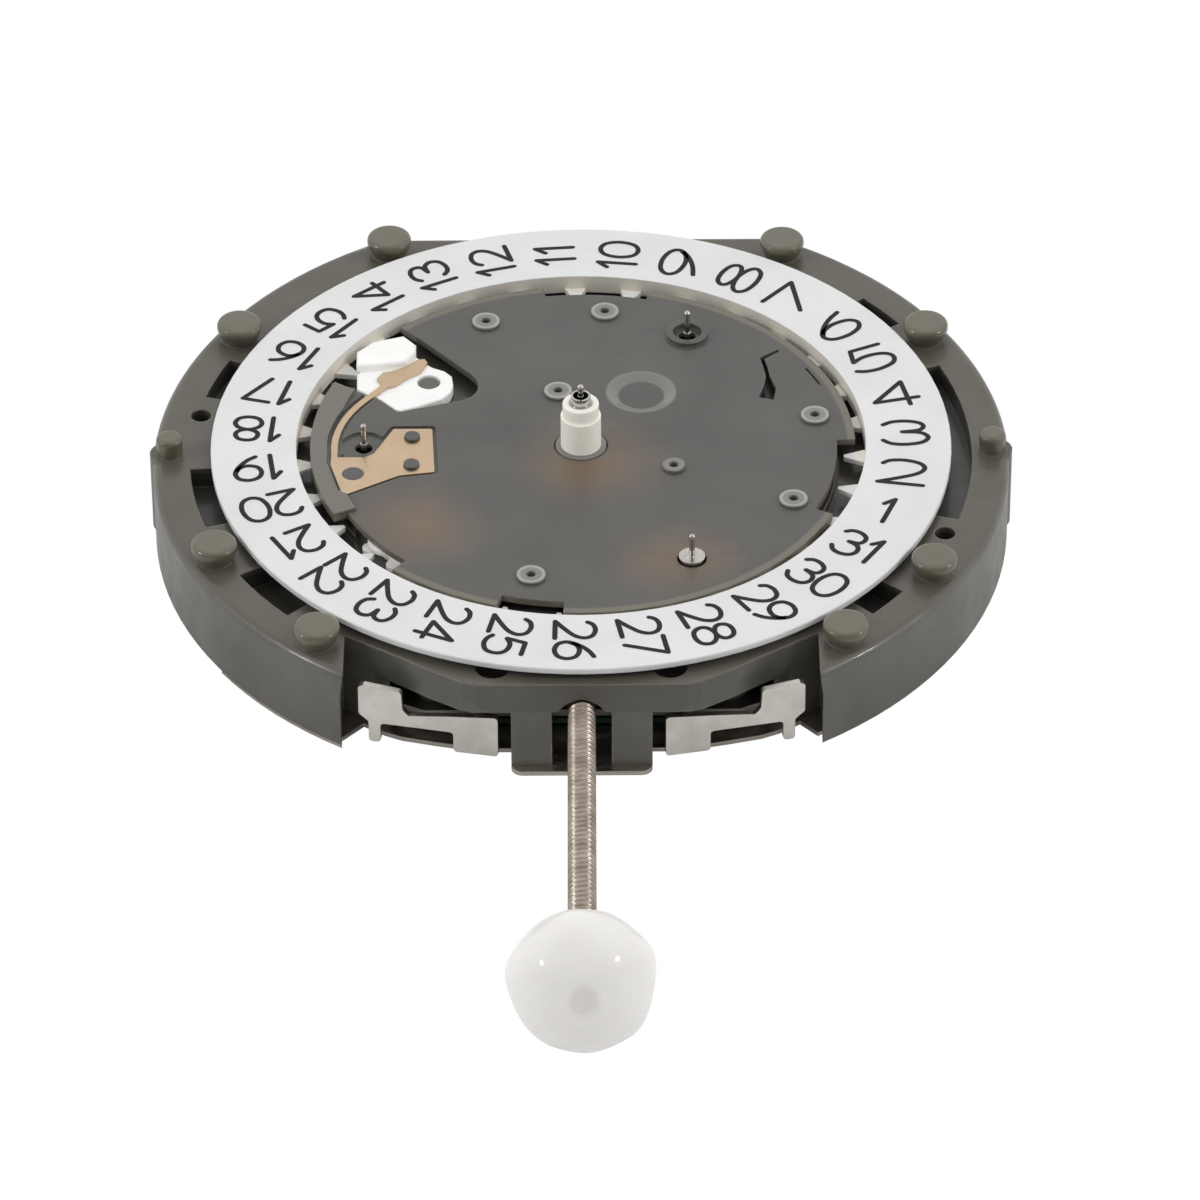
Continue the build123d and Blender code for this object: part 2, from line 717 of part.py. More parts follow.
# Jumper spring: plate, curved arm and head in one thin sheet
with BuildPart() as jumper_spring:
    with BuildSketch(Plane.XY.offset(spring_low)) as sheet:
        with BuildLine():
            Polyline(*spring_plate, close=True)
        make_face()
        with BuildLine():
            Spline(*arm_points)
        trace(line_width=arm_width)
        with BuildLine():
            Polyline(*spring_head, close=True)
        make_face()
        fillet(sheet.vertices().filter_by(lambda v: v.X > spring_corner_x), spring_corner)
        with Locations(*spring_studs):
            Circle(spring_stud_radius + press_gap, mode=Mode.SUBTRACT)
        with Locations(spring_rivet):
            Circle(spring_rivet_radius + press_gap, mode=Mode.SUBTRACT)
    extrude(amount=spring_thick)
save(jumper_spring.part, "jumper_spring")

# Date jumper and the raised head on it
with BuildPart() as date_jumper:
    with BuildSketch(Plane.XY.offset(jumper_low)) as body:
        with BuildLine():
            Polyline(*jumper_body, close=True)
        make_face()
        Circle(jumper_reach, mode=Mode.INTERSECT)
    extrude(amount=jumper_body_top - jumper_low)
    chamfer(date_jumper.edges().group_by(Axis.Z)[-1], jumper_bevel / 2)
    disc(jumper_low, jumper_body_top, jumper_bore, (jumper_at,), Mode.SUBTRACT)
save(date_jumper.part, "date_jumper")

with BuildPart() as date_jumper_head:
    outline(jumper_body_top, jumper_block_top, jumper_block)
    chamfer(date_jumper_head.edges().group_by(Axis.Z)[-1], jumper_bevel)
save(date_jumper_head.part, "date_jumper_head")

# Date ring and its inner teeth
with BuildPart() as date_ring:
    disc(ring_top - ring_flange_thick, ring_top, ring_outer)
    fillet(date_ring.edges().group_by(Axis.Z)[-1], ring_edge_round)
    disc(tooth_low, ring_top - ring_flange_thick, ring_hub_outer)
    disc(tooth_low - overrun, ring_top + overrun, ring_inner, mode=Mode.SUBTRACT)
save(date_ring.part, "date_ring")

with BuildPart() as date_ring_teeth:
    with BuildSketch(Plane.XY.offset(tooth_low)):
        for index in range(date_teeth):
            along = tooth_phase + index * 360 / date_teeth
            edges = []
            for reach, half in ((ring_inner + running, tooth_base_half), (tooth_tip_circle, tooth_tip_half)):
                turn = degrees(asin(half / reach))
                edges.append((on_circle(reach, along + turn), on_circle(reach, along - turn)))
            with BuildLine():
                Polyline(edges[0][0], edges[1][0], edges[1][1], edges[0][1], close=True)
            make_face()
        Circle(ring_inner - press_gap, mode=Mode.INTERSECT)
    extrude(amount=tooth_thick)
save(date_ring_teeth.part, "date_ring_teeth")

# Minute pipe, minute wheel, hour wheel and setting wheel
minute_phase = meshing_phase((0, 0), cannon_teeth, 0, minute_at, minute_teeth)
with BuildPart() as minute_pipe:
    disc(centre_low + centre_thick + running, hour_pipe_top, minute_pipe_radius)
    disc(hour_pipe_top, minute_pipe_top, minute_seat_radius)
    gear(motion_low, motion_thick, (0, 0), cannon_teeth, motion_module, 0)
    disc(floor_under - overrun, minute_pipe_top + overrun, minute_pipe_bore, mode=Mode.SUBTRACT)
save(minute_pipe.part, "minute_pipe")

hour_top = hour_low + hour_thick
motion_top = motion_low + motion_thick
with BuildPart() as minute_wheel:
    gear(motion_low, motion_thick, minute_at, minute_teeth, motion_module, minute_phase)
    gear(motion_top, hour_top - motion_top, minute_at, minute_pinion_teeth, hour_module, minute_phase)
    disc(floor_under, guard_under, stud_radius + running, (minute_at,), Mode.SUBTRACT)
save(minute_wheel.part, "minute_wheel")

hour_phase = meshing_phase(minute_at, minute_pinion_teeth, minute_phase, (0, 0), hour_teeth)
with BuildPart() as hour_wheel:
    gear(hour_low, hour_thick, (0, 0), hour_teeth, hour_module, hour_phase)
    disc(hour_low, hour_collar_top, hour_collar_radius)
    disc(hour_collar_top, hour_pipe_step, hour_pipe_lower_radius)
    disc(hour_pipe_step, hour_pipe_top, hour_pipe_radius)
    fillet(hour_wheel.edges().group_by(Axis.Z)[-1], running)
    disc(hour_low - overrun, hour_pipe_top + overrun, minute_pipe_radius + running, mode=Mode.SUBTRACT)
save(hour_wheel.part, "hour_wheel")

setting_phase = meshing_phase(minute_at, minute_teeth, minute_phase, setting_at, setting_teeth)
with BuildPart() as setting_wheel:
    gear(motion_low, motion_thick, setting_at, setting_teeth, motion_module, setting_phase)
    disc(floor_under, guard_under, stud_radius + running, (setting_at,), Mode.SUBTRACT)
save(setting_wheel.part, "setting_wheel")

# Date drive with broad round teeth
date_idler_phase = meshing_phase((0, 0), hour_teeth, hour_phase, date_idler_at, date_gear_teeth)
date_wheel_phase = meshing_phase(date_idler_at, date_pinion_teeth, 0, date_wheel_at, date_wheel_teeth)
pinion_pitch = pitch_radius(date_pinion_teeth, date_module)
wheel_pitch = pitch_radius(date_wheel_teeth, date_module)
date_root = date_root_share * date_module
date_tip = date_tip_share * date_module
date_top = date_low + date_thick
with BuildPart() as date_intermediate_wheel:
    lobes(motion_low, hour_low - motion_low, date_idler_at, date_pinion_teeth,
          pinion_pitch - date_root, pinion_pitch + date_tip, date_lobe, 0)
    gear(hour_low, hour_thick, date_idler_at, date_gear_teeth, hour_module, date_idler_phase)
    disc(floor_under, guard_under, stud_radius + running, (date_idler_at,), Mode.SUBTRACT)
save(date_intermediate_wheel.part, "date_intermediate_wheel")

with BuildPart() as date_driving_wheel:
    lobes(motion_low, motion_thick, date_wheel_at, date_wheel_teeth,
          wheel_pitch - date_root, wheel_pitch + date_tip, date_lobe, date_wheel_phase)
    disc(motion_low, date_top, stud_radius + star_lobe / 2, (date_wheel_at,))
    lobes(date_low, date_thick, date_wheel_at, star_lobes, star_root, star_tip, star_lobe, star_phase)
    disc(floor_under, guard_under, stud_radius + running, (date_wheel_at,), Mode.SUBTRACT)
save(date_driving_wheel.part, "date_driving_wheel")

# Time train from the small seconds to the centre wheel
near_idler_phase = meshing_phase((0, 0), centre_teeth, 0, near_idler_at, idler_teeth)
far_idler_phase = meshing_phase(near_idler_at, idler_teeth, near_idler_phase, far_idler_at, idler_teeth)
third_phase = meshing_phase(far_idler_at, idler_teeth, far_idler_phase, third_at, pinion_leaves)
with BuildPart() as centre_wheel:
    gear(centre_low, centre_thick, (0, 0), centre_teeth, train_module, 0)
    disc(centre_low, centre_hub_top, centre_hub_radius)
    disc(centre_low - overrun, centre_hub_top + overrun, seconds_radius + pivot_gap, mode=Mode.SUBTRACT)
save(centre_wheel.part, "centre_wheel")

with BuildPart() as near_idler:
    gear(centre_low, centre_thick, near_idler_at, idler_teeth, train_module, near_idler_phase)
    disc(centre_low, floor_under, idler_stud_radius + running, (near_idler_at,), Mode.SUBTRACT)
save(near_idler.part, "near_idler")

with BuildPart() as far_idler:
    gear(centre_low, centre_thick, far_idler_at, idler_teeth, train_module, far_idler_phase)
    disc(centre_low, floor_under, idler_stud_radius + running, (far_idler_at,), Mode.SUBTRACT)
save(far_idler.part, "far_idler")

with BuildPart() as third_wheel:
    gear(third_low, third_thick, third_at, third_teeth, train_module, third_phase)
    pinion_thick = centre_thick + 2 * running
    gear(centre_low - running, pinion_thick, third_at, pinion_leaves, train_module, third_phase)
    shaft(bridge_top + running, floor_under - running, arbor_radius, third_at, pivot_depth)
save(third_wheel.part, "third_wheel")

# Hand arbors, reduction wheels, rotors and coils of the four motors
core_low = stator_low + stator_thick
for hour, place in hand_at.items():
    phase = meshing_phase(third_at, third_teeth, third_phase, place, pinion_leaves)
    ball = hand_tip[hour] - post_ball_radius
    arbor, seat, seat_low = post_radius, post_seat_radius, guard_top + flange_thick
    if hour == "centre":
        arbor, seat, seat_low = seconds_radius, seconds_seat_radius, minute_pipe_top
    with BuildPart() as hand_arbor:
        gear(hand_low, hand_thick, place, hand_teeth, train_module, phase)
        disc(bridge_top + running, seat_low, arbor, (place,))
        disc(bridge_top + running - pivot_depth, seat_low, pivot_radius, (place,))
        disc(seat_low, ball, seat, (place,))
        if hour == "six":
            gear(third_low - running / 2, third_thick + running, place, pinion_leaves, train_module, phase)
        if hour == "two":
            disc(guard_top, guard_top + flange_thick, flange_radius, (place,))
        with Locations((place[0], place[1], ball)):
            Sphere(post_ball_radius)
    save(hand_arbor.part, hour + "_hand_arbor")

    middle = reduction_at[hour]
    wheel_phase = meshing_phase(place, hand_teeth, phase, middle, pinion_leaves)
    pinion_thick = hand_thick + 2 * running
    with BuildPart() as reduction_wheel:
        gear(reduction_low, reduction_thick, middle, reduction_teeth, train_module, wheel_phase)
        gear(hand_low - running, pinion_thick, middle, pinion_leaves, train_module, wheel_phase)
        shaft(bridge_top + running, floor_under - running, arbor_radius, middle, pivot_depth)
    save(reduction_wheel.part, hour + "_reduction_wheel")

    spindle = rotor_at[hour]
    rotor_phase = meshing_phase(middle, reduction_teeth, wheel_phase, spindle, pinion_leaves)
    pinion_low = reduction_low - running / 2
    with BuildPart() as rotor:
        disc(magnet_low, magnet_low + magnet_thick, magnet_radius, (spindle,))
        gear(pinion_low, reduction_thick + running, spindle, pinion_leaves, train_module, rotor_phase)
        shaft(bridge_top + running, floor_under - running, arbor_radius, spindle, pivot_depth)
    save(rotor.part, hour + "_rotor")

    along = motor_angles[hour][2] + 90
    foot_reach = core_half - foot_half
    feet = [on_circle(side * foot_reach, along, coil_at[hour]) for side in (-1, 1)]
    knees = [on_circle(side * foot_reach, along, rotor_at[hour]) for side in (-1, 1)]
    with BuildPart() as stator:
        disc(stator_low, core_low, stator_ring, (rotor_at[hour],))
        bar(stator_low, core_low, rotor_at[hour], core_half, stator_arm, along)
        for foot, knee in zip(feet, knees):
            middle = ((foot[0] + knee[0]) / 2, (foot[1] + knee[1]) / 2)
            bar(stator_low, core_low, middle, coil_reach / 2 + core_width / 2, 2 * foot_half, along + 90)
        disc(stator_low, core_low, stator_hole, (rotor_at[hour],), Mode.SUBTRACT)
    save(stator.part, hour + "_stator")

    with BuildPart() as core:
        bar(core_low, core_low + core_thick, coil_at[hour], core_half - foot_half, core_width / 2, along)
        for foot in feet:
            bar(core_low, core_low + core_thick, foot, foot_half, core_width, along)
    save(core.part, hour + "_coil_core")

    winding_end = on_circle(-winding_half, along, coil_at[hour])
    winding_plane = Plane(
        origin=(winding_end[0], winding_end[1], core_low + core_thick / 2),
        x_dir=(-sin(radians(along)), cos(radians(along)), 0),
        z_dir=(cos(radians(along)), sin(radians(along)), 0),
    )
    with BuildPart() as winding:
        with BuildSketch(winding_plane):
            Circle(winding_radius)
            Rectangle(core_width / 2 + 2 * press_gap, core_thick + 2 * press_gap, mode=Mode.SUBTRACT)
        extrude(amount=2 * winding_half)
    save(winding.part, hour + "_winding")


def coil_windows():
    """Openings over the four windings, in the sheet being drawn."""
    for hour in hand_at:
        turn = motor_angles[hour][2] + 90
        with Locations(Location((coil_at[hour][0], coil_at[hour][1], 0), (0, 0, turn))):
            Rectangle(2 * winding_half, 2 * winding_radius + coil_window_gap, mode=Mode.SUBTRACT)


def sheet_blank(radius, back_reach):
    """Round sheet with its flat sides, battery opening and coil windows, in the sheet being drawn."""
    Circle(radius)
    with Locations((0, back_reach + body_radius), (0, -sheet_front - body_radius)):
        Rectangle(2 * body_radius, 2 * body_radius, mode=Mode.SUBTRACT)
    with Locations(battery_at):
        Circle(battery_radius + battery_gap, mode=Mode.SUBTRACT)
    coil_windows()


# Train bridge
with BuildPart() as train_bridge:
    with BuildSketch(Plane.XY.offset(bridge_low)):
        sheet_blank(bridge_radius, flat_reach - flat_wall - 2 * running)
        with Locations(can_at):
            Rectangle(can_length + 4 * running, 2 * can_radius + 4 * running, mode=Mode.SUBTRACT)
        with Locations(chip_at):
            Rectangle(chip_side + 4 * running, chip_side + 4 * running, mode=Mode.SUBTRACT)
        with Locations(*wheel_bearings, *hand_at.values()):
            Circle(pivot_radius + pivot_gap, mode=Mode.SUBTRACT)
        with Locations(*screw_places):
            Circle(screw_radius + screw_gap, mode=Mode.SUBTRACT)
    extrude(amount=bridge_thick)
    disc(board_top, bridge_low + running, spacer_radius, screw_places)
    disc(board_low, bridge_top + overrun, screw_radius + screw_gap, screw_places, Mode.SUBTRACT)
save(train_bridge.part, "train_bridge")

# Circuit board with its chip and quartz can
with BuildPart() as circuit_board:
    with BuildSketch(Plane.XY.offset(board_low)):
        sheet_blank(board_radius, flat_reach - flat_wall - 2 * running)
        with Locations(*screw_places):
            Circle(screw_radius + screw_gap, mode=Mode.SUBTRACT)
    extrude(amount=board_thick)
save(circuit_board.part, "circuit_board")

with BuildPart() as quartz_can:
    with BuildSketch(Plane.YZ.offset(can_at[0] - can_length / 2)):
        with Locations((can_at[1], board_top + can_radius)):
            Circle(can_radius)
    extrude(amount=can_length)
    fillet(quartz_can.edges().group_by(Axis.X)[-1], can_radius / 4)
save(quartz_can.part, "quartz_can")

with BuildPart() as chip:
    x_low, x_high = chip_at[0] - chip_side / 2, chip_at[0] + chip_side / 2
    y_low, y_high = chip_at[1] - chip_side / 2, chip_at[1] + chip_side / 2
    block(board_top, board_top + chip_thick, x_low, x_high, y_low, y_high)
save(chip.part, "chip")

# Battery and the clamp across its face
with BuildPart() as battery:
    disc(battery_low, battery_top - battery_cap_height, battery_radius, (battery_at,))
    chamfer(battery.edges().group_by(Axis.Z)[0], battery_bevel)
    disc(battery_top - battery_cap_height, battery_top, battery_cap_radius, (battery_at,))
save(battery.part, "battery")

clamp_end = battery_radius + battery_gap - running
with BuildPart() as battery_clamp:
    bar(0, back_plate_thick, battery_at, clamp_end, clamp_width, clamp_angle)
    bar(back_plate_thick, board_low, battery_at, clamp_end + clamp_lug, clamp_width / 2, clamp_angle)
    disc(back_plate_thick, board_low + overrun, battery_radius + running, (battery_at,), Mode.SUBTRACT)
save(battery_clamp.part, "battery_clamp")

# Steel back plate with a tongue under the legs
with BuildPart() as back_plate:
    with BuildSketch() as steel:
        Circle(plate_radius)
        with Locations((0, flat_reach - running + body_radius)):
            Rectangle(2 * body_radius, 2 * body_radius, mode=Mode.SUBTRACT)
        with BuildLine():
            flange = CenterArc((0, 0), plate_flange_radius, plate_flange_start, plate_flange_sweep)
            Line(flange @ 0, (0, 0))
            Line((0, 0), flange @ 1)
        make_face()
        with BuildLine():
            other_side = [(-x, y) for x, y in reversed(plate_front)]
            Polyline((-front_half_width, -body_radius), *plate_front, *other_side,
                     (front_half_width, -body_radius), close=True)
        make_face(mode=Mode.SUBTRACT)
        with Locations((0, -(tongue_front + leg_back) / 2)):
            RectangleRounded(2 * leg_outer, tongue_front - leg_back, tongue_corner)
        with Locations(battery_at):
            Circle(battery_radius + battery_gap, mode=Mode.SUBTRACT)
        coil_windows()
    extrude(amount=back_plate_thick)
    for place in screw_places:
        wide, narrow = screw_head_radius + screw_gap, screw_radius + screw_gap
        cone(0, back_plate_thick, wide, narrow, place, Mode.SUBTRACT)
save(back_plate.part, "back_plate")

# Screws with countersunk slotted heads
with BuildPart() as plate_screws:
    slot_deep, slot_wide = back_plate_thick / 2, screw_radius / 2
    for place in screw_places:
        cone(0, back_plate_thick, screw_head_radius, screw_radius, place)
        disc(back_plate_thick, screw_length, screw_radius, (place,))
        bar(-overrun, slot_deep, place, 2 * screw_head_radius, slot_wide, 0, Mode.SUBTRACT)
save(plate_screws.part, "plate_screws")

# Stem's tail in the movement, with its square and its groove, and its long outer end
with BuildPart() as stem_tail:
    rod(square_front, stem_outer_start, stem_radius, stem_z)
    with BuildSketch(Plane.XZ.offset(stem_inner_end)):
        with Locations((0, stem_z)):
            Rectangle(square_side, square_side)
    extrude(amount=square_front - stem_inner_end)
    with BuildSketch(Plane.XZ.offset(stem_groove_y - stem_groove_width / 2)):
        with Locations((0, stem_z)):
            Circle(2 * stem_radius)
            Circle(stem_groove_radius, mode=Mode.SUBTRACT)
    extrude(amount=stem_groove_width, mode=Mode.SUBTRACT)
save(stem_tail.part, "stem_tail")

with BuildPart() as stem:
    rod(stem_outer_start, stem_front_end, stem_radius, stem_z)
save(stem.part, "stem")

# Clutch wheel with its yoke groove and end teeth
clutch_middle = (clutch_front + clutch_back) / 2
with BuildPart() as clutch_wheel:
    rod(clutch_back, clutch_front, clutch_radius, stem_z)
    with BuildSketch(Plane.XZ.offset(clutch_back)):
        with Locations((0, stem_z)):
            Rectangle(square_side + running, square_side + running)
    extrude(amount=overrun, mode=Mode.SUBTRACT)
    with BuildSketch(Plane.XZ.offset(clutch_middle - clutch_groove_width / 2)):
        with Locations((0, stem_z)):
            Circle(2 * clutch_radius)
            Circle(clutch_groove_radius, mode=Mode.SUBTRACT)
    extrude(amount=clutch_groove_width, mode=Mode.SUBTRACT)
    with BuildSketch(Plane.XZ.offset(clutch_back)):
        with Locations((0, stem_z)):
            with PolarLocations(clutch_radius, clutch_teeth):
                Rectangle(clutch_radius / 2, clutch_tooth_depth)
    extrude(amount=clutch_tooth_depth, mode=Mode.SUBTRACT)
save(clutch_wheel.part, "clutch_wheel")

# Knob, five rounded sides drawn in at both ends
with BuildPart() as knob:
    for along_share, radius_share in knob_station_shares:
        radius = knob_radius * radius_share
        with BuildSketch(Plane.XZ.offset(knob_back + (knob_front - knob_back) * along_share)) as section:
            with Locations((0, stem_z)):
                RegularPolygon(radius, knob_sides, major_radius=False, rotation=180)
            fillet(section.vertices(), radius * knob_round_share)
    loft()
    rod(knob_back - overrun, stem_front_end, stem_radius, stem_z, Mode.SUBTRACT)
    rod(knob_front - knob_dimple_depth, knob_front + overrun, knob_dimple_radius, stem_z, Mode.SUBTRACT)
save(knob.part, "knob")


def lever(pivot, end, pin_radius, pin_top):
    """Flat lever with an eye round its post and a pin standing at its end, in the part being built."""
    top = lever_low + lever_thick
    middle = ((pivot[0] + end[0]) / 2, (pivot[1] + end[1]) / 2)
    half = hypot(pivot[0] - end[0], pivot[1] - end[1]) / 2
    disc(lever_low, top, lever_eye, (pivot,))
    disc(lever_low, top, lever_eye / 2, (end,))
    bar(lever_low, top, middle, half, lever_eye, bearing(pivot, end))
    disc(lever_low, pin_top, pin_radius, (end,))
    disc(lever_low, top, lever_post_radius + running, (pivot,), Mode.SUBTRACT)


# Setting lever with its pin in the stem's groove, and yoke with its pin in the clutch's groove
with BuildPart() as setting_lever:
    lever(lever_pivot, (0, -stem_groove_y), lever_pin_radius, stem_z - stem_groove_radius - running)
save(setting_lever.part, "setting_lever")

with BuildPart() as yoke:
    lever(yoke_pivot, (0, -clutch_middle), fork_radius, stem_z - clutch_groove_radius - running)
save(yoke.part, "yoke")

# Shouldered posts of those levers, fixed in the train bridge
with BuildPart() as setting_posts:
    posts = (lever_pivot, yoke_pivot)
    top = lever_low + lever_thick + running
    disc(bridge_top, lever_low - running, 2 * lever_post_radius, posts)
    disc(bridge_top, top, lever_post_radius, posts)
    disc(top, top + lever_thick / 2, 2 * lever_post_radius, posts)
save(setting_posts.part, "setting_posts")

# Push levers, upright steel plates folded from a foot that turns on a post
for side, name in ((-1, "four_oclock_push_lever"), (1, "two_oclock_push_lever")):
    tilt = bearing(push_near, push_far)
    level = Vector(side * cos(radians(tilt)), sin(radians(tilt)), 0)
    corner = (side * push_near[0], push_near[1], 0)
    upright = Plane(origin=corner, x_dir=level, z_dir=level.cross(Vector(0, 0, 1)))
    post = (side * push_pivot[0], push_pivot[1])
    near, far = sorted((side * (push_pivot[0] - push_eye), side * (push_pivot[0] + push_eye)))
    with BuildPart() as push_lever:
        with BuildSketch(upright) as sheet_shape:
            with BuildLine():
                Polyline(*push_profile, close=True)
            make_face()
            fillet(sheet_shape.vertices(), push_corner)
        extrude(amount=push_thick / 2, both=True)
        disc(push_foot_low, push_foot_low + push_foot, push_eye, (post,))
        block(push_foot_low, push_foot_low + push_foot, near, far, -push_foot_front, push_pivot[1])
        disc(push_foot_low, push_foot_low + push_foot, push_post_radius + running, (post,), Mode.SUBTRACT)
    save(push_lever.part, name)
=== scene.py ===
"""Visual model of a small watch movement, seen from its dial side.

The CAD frame gives every mechanical piece. This script gives each of them a procedural finish, adds the
printed date numbers, swaps the plain stem and knob for detailed ones, and sets up the studio and camera.
"""

import logging
from dataclasses import dataclass
from enum import Enum
from math import cos, hypot, pi, radians, sin, tau
from typing import Iterable, Sequence

import bmesh
import bpy
from mathutils import Matrix, Vector

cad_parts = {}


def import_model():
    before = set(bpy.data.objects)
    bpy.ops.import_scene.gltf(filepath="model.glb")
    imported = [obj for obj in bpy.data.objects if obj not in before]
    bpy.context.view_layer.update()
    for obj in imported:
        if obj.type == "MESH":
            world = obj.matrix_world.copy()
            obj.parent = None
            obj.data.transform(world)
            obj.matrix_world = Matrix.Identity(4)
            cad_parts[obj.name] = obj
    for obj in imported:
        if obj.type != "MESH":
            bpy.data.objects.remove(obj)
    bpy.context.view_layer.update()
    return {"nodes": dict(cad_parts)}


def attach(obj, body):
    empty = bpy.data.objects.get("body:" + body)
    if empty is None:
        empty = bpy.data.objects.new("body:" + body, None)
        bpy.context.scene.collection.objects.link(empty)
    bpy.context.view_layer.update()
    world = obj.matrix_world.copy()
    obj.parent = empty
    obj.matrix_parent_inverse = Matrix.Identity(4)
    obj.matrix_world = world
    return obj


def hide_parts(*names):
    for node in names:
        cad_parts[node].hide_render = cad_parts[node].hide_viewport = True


LOG = logging.getLogger("scene")
MM = 0.001

Point = tuple[float, float]
Colour = tuple[float, float, float]
Socket = bpy.types.NodeSocket

# Numbers that all materials share. A share is of the finish's own size, a blur is in millimetres.
PLAN_ONLY = (1.0, 1.0, 0.0)
BRUSHED_STRETCH = (1.0, 6.0, 1.0)
SWELL_STRETCH = (1.0, 1.0, 0.25)
SCATTER_RADII = (1.0, 0.85, 0.7)
NOISE_MIDDLE = (0.35, 0.65)
PATCH_DETAIL = 4.0
ROUGH_DETAIL = 5.0
FINE_DETAIL = 3.0
SWELL_DETAIL = 1.0
GLOW_DETAIL = 2.0
ROUGH_GRAIN_SHARE = 0.4
BUMP_SHARE = 0.5
GLOW_GRAIN_SHARE = 0.8
GLOW_WOBBLE_SHARE = 0.5
GLOW_INNER_SHARE = 0.35
GLOW_OUTER_SHARE = 1.25
ACROSS_BLUR = 0.04
UPRIGHT_BLUR = 0.02
BEHIND_BLUR = 0.1
BEVEL_SAMPLES = 4
EDGE_COSINES = (0.72, 0.99)
# Samples between two points of a curved stroke.
CURVE_STEPS = 6


class Family(Enum):
    """Kinds of finish that share a node recipe."""

    PLASTIC = "plastic"
    METAL = "metal"
    INK = "ink"
    WIRE = "wire"


@dataclass(frozen=True)
class Glow:
    """Warm patch where a brass wheel shows through thin plastic.

    Args:
        place: centre in millimetres, in plan.
        radius: how far the tint reaches, in millimetres.
        amount: strength of the tint from 0 to 1.
    """

    place: Point
    radius: float
    amount: float


@dataclass(frozen=True)
class Zone:
    """Part of a moulding whose colour changes there, for its own tint or for painted shade and painted
    highlights, between two radii and two heights round an upright axis.

    Args:
        inner: least distance from the axis, in millimetres.
        outer: greatest distance from the axis, in millimetres.
        low: least height, in millimetres.
        high: greatest height, in millimetres.
        colour: the zone's tint, painted shade or painted highlight.
        amount: strength of the tint from 0 to 1.
        place: where the axis stands in plan, in millimetres.
        behind: the zone lies only beyond this line along Y, in millimetres.
        shine: weight of the clear top layer in the zone.
    """

    inner: float
    outer: float
    low: float
    high: float
    colour: Colour
    amount: float = 1.0
    place: Point = (0.0, 0.0)
    behind: float = -40.0
    shine: float = 0.0


@dataclass(frozen=True)
class Finish:
    """Look of one material, in linear colour.

    Args:
        name: material name.
        family: node recipe that the finish uses.
        light: colour of the brighter patches.
        dark: colour of the darker patches.
        roughness: middle roughness.
        spread: how far the roughness varies either way.
        grain: size of the colour patches in millimetres.
        bump: depth of the fine surface texture in millimetres.
        bump_grain: size of the fine surface texture in millimetres.
        subsurface: weight of light scattered under the surface.
        coat: weight of the clear top layer.
        coat_roughness: roughness of that layer.
        specular: strength of the plain reflection, 0.5 for common plastic.
        glows: warm patches seen through the material.
        glow_colour: tint of those patches.
        zones: parts with their own tint, painted shade or painted highlight.
        edge: how much lighter the edges are painted, as a share; a painted highlight along them.
        edge_round: radius of the softened edges in millimetres.
        scatter: distance that light travels under the surface, in millimetres.
        lit: strength of a painted glow, the colour emitted so that the pale plastic is brighter though it is
            no lamp.
        swell: depth of the broad unevenness of a moulding in millimetres.
        swell_grain: width of that unevenness in millimetres.
    """

    name: str
    family: Family
    light: Colour
    dark: Colour
    roughness: float
    spread: float = 0.06
    grain: float = 1.5
    bump: float = 0.002
    bump_grain: float = 0.12
    subsurface: float = 0.0
    coat: float = 0.0
    coat_roughness: float = 0.12
    specular: float = 0.5
    glows: tuple[Glow, ...] = ()
    glow_colour: Colour = (0.30, 0.16, 0.07)
    zones: tuple[Zone, ...] = ()
    edge: float = 0.0
    edge_round: float = 0.05
    scatter: float = 0.6
    lit: float = 0.0
    swell: float = 0.0
    swell_grain: float = 2.2


def map_range(
    tree: bpy.types.NodeTree, value: Socket, span: Point, result: Point, smooth: bool = False
) -> Socket:
    """Add a node that maps one span of a value to another.

    Args:
        tree: node tree that gets the node.
        value: the value to map.
        span: the two values that are mapped.
        result: what they become.
        smooth: whether the change eases in and out.

    Returns:
        The mapped value.
    """
    node = tree.nodes.new("ShaderNodeMapRange")
    if smooth:
        node.interpolation_type = "SMOOTHSTEP"
    for name, number in zip(("From Min", "From Max", "To Min", "To Max"), (*span, *result)):
        node.inputs[name].default_value = number
    tree.links.new(value, node.inputs["Value"])
    return node.outputs["Result"]


def show_to_camera(tree: bpy.types.NodeTree, lit: Socket, seen: Socket, surface: Socket) -> None:
    """Give the camera one shader and all other rays another.

    Args:
        tree: node tree of the world or material.
        lit: shader for all other rays.
        seen: shader for the camera.
        surface: the tree's output.
    """
    path = tree.nodes.new("ShaderNodeLightPath")
    mix = tree.nodes.new("ShaderNodeMixShader")
    tree.links.new(path.outputs["Is Camera Ray"], mix.inputs["Fac"])
    tree.links.new(lit, mix.inputs[1])
    tree.links.new(seen, mix.inputs[2])
    tree.links.new(mix.outputs["Shader"], surface)


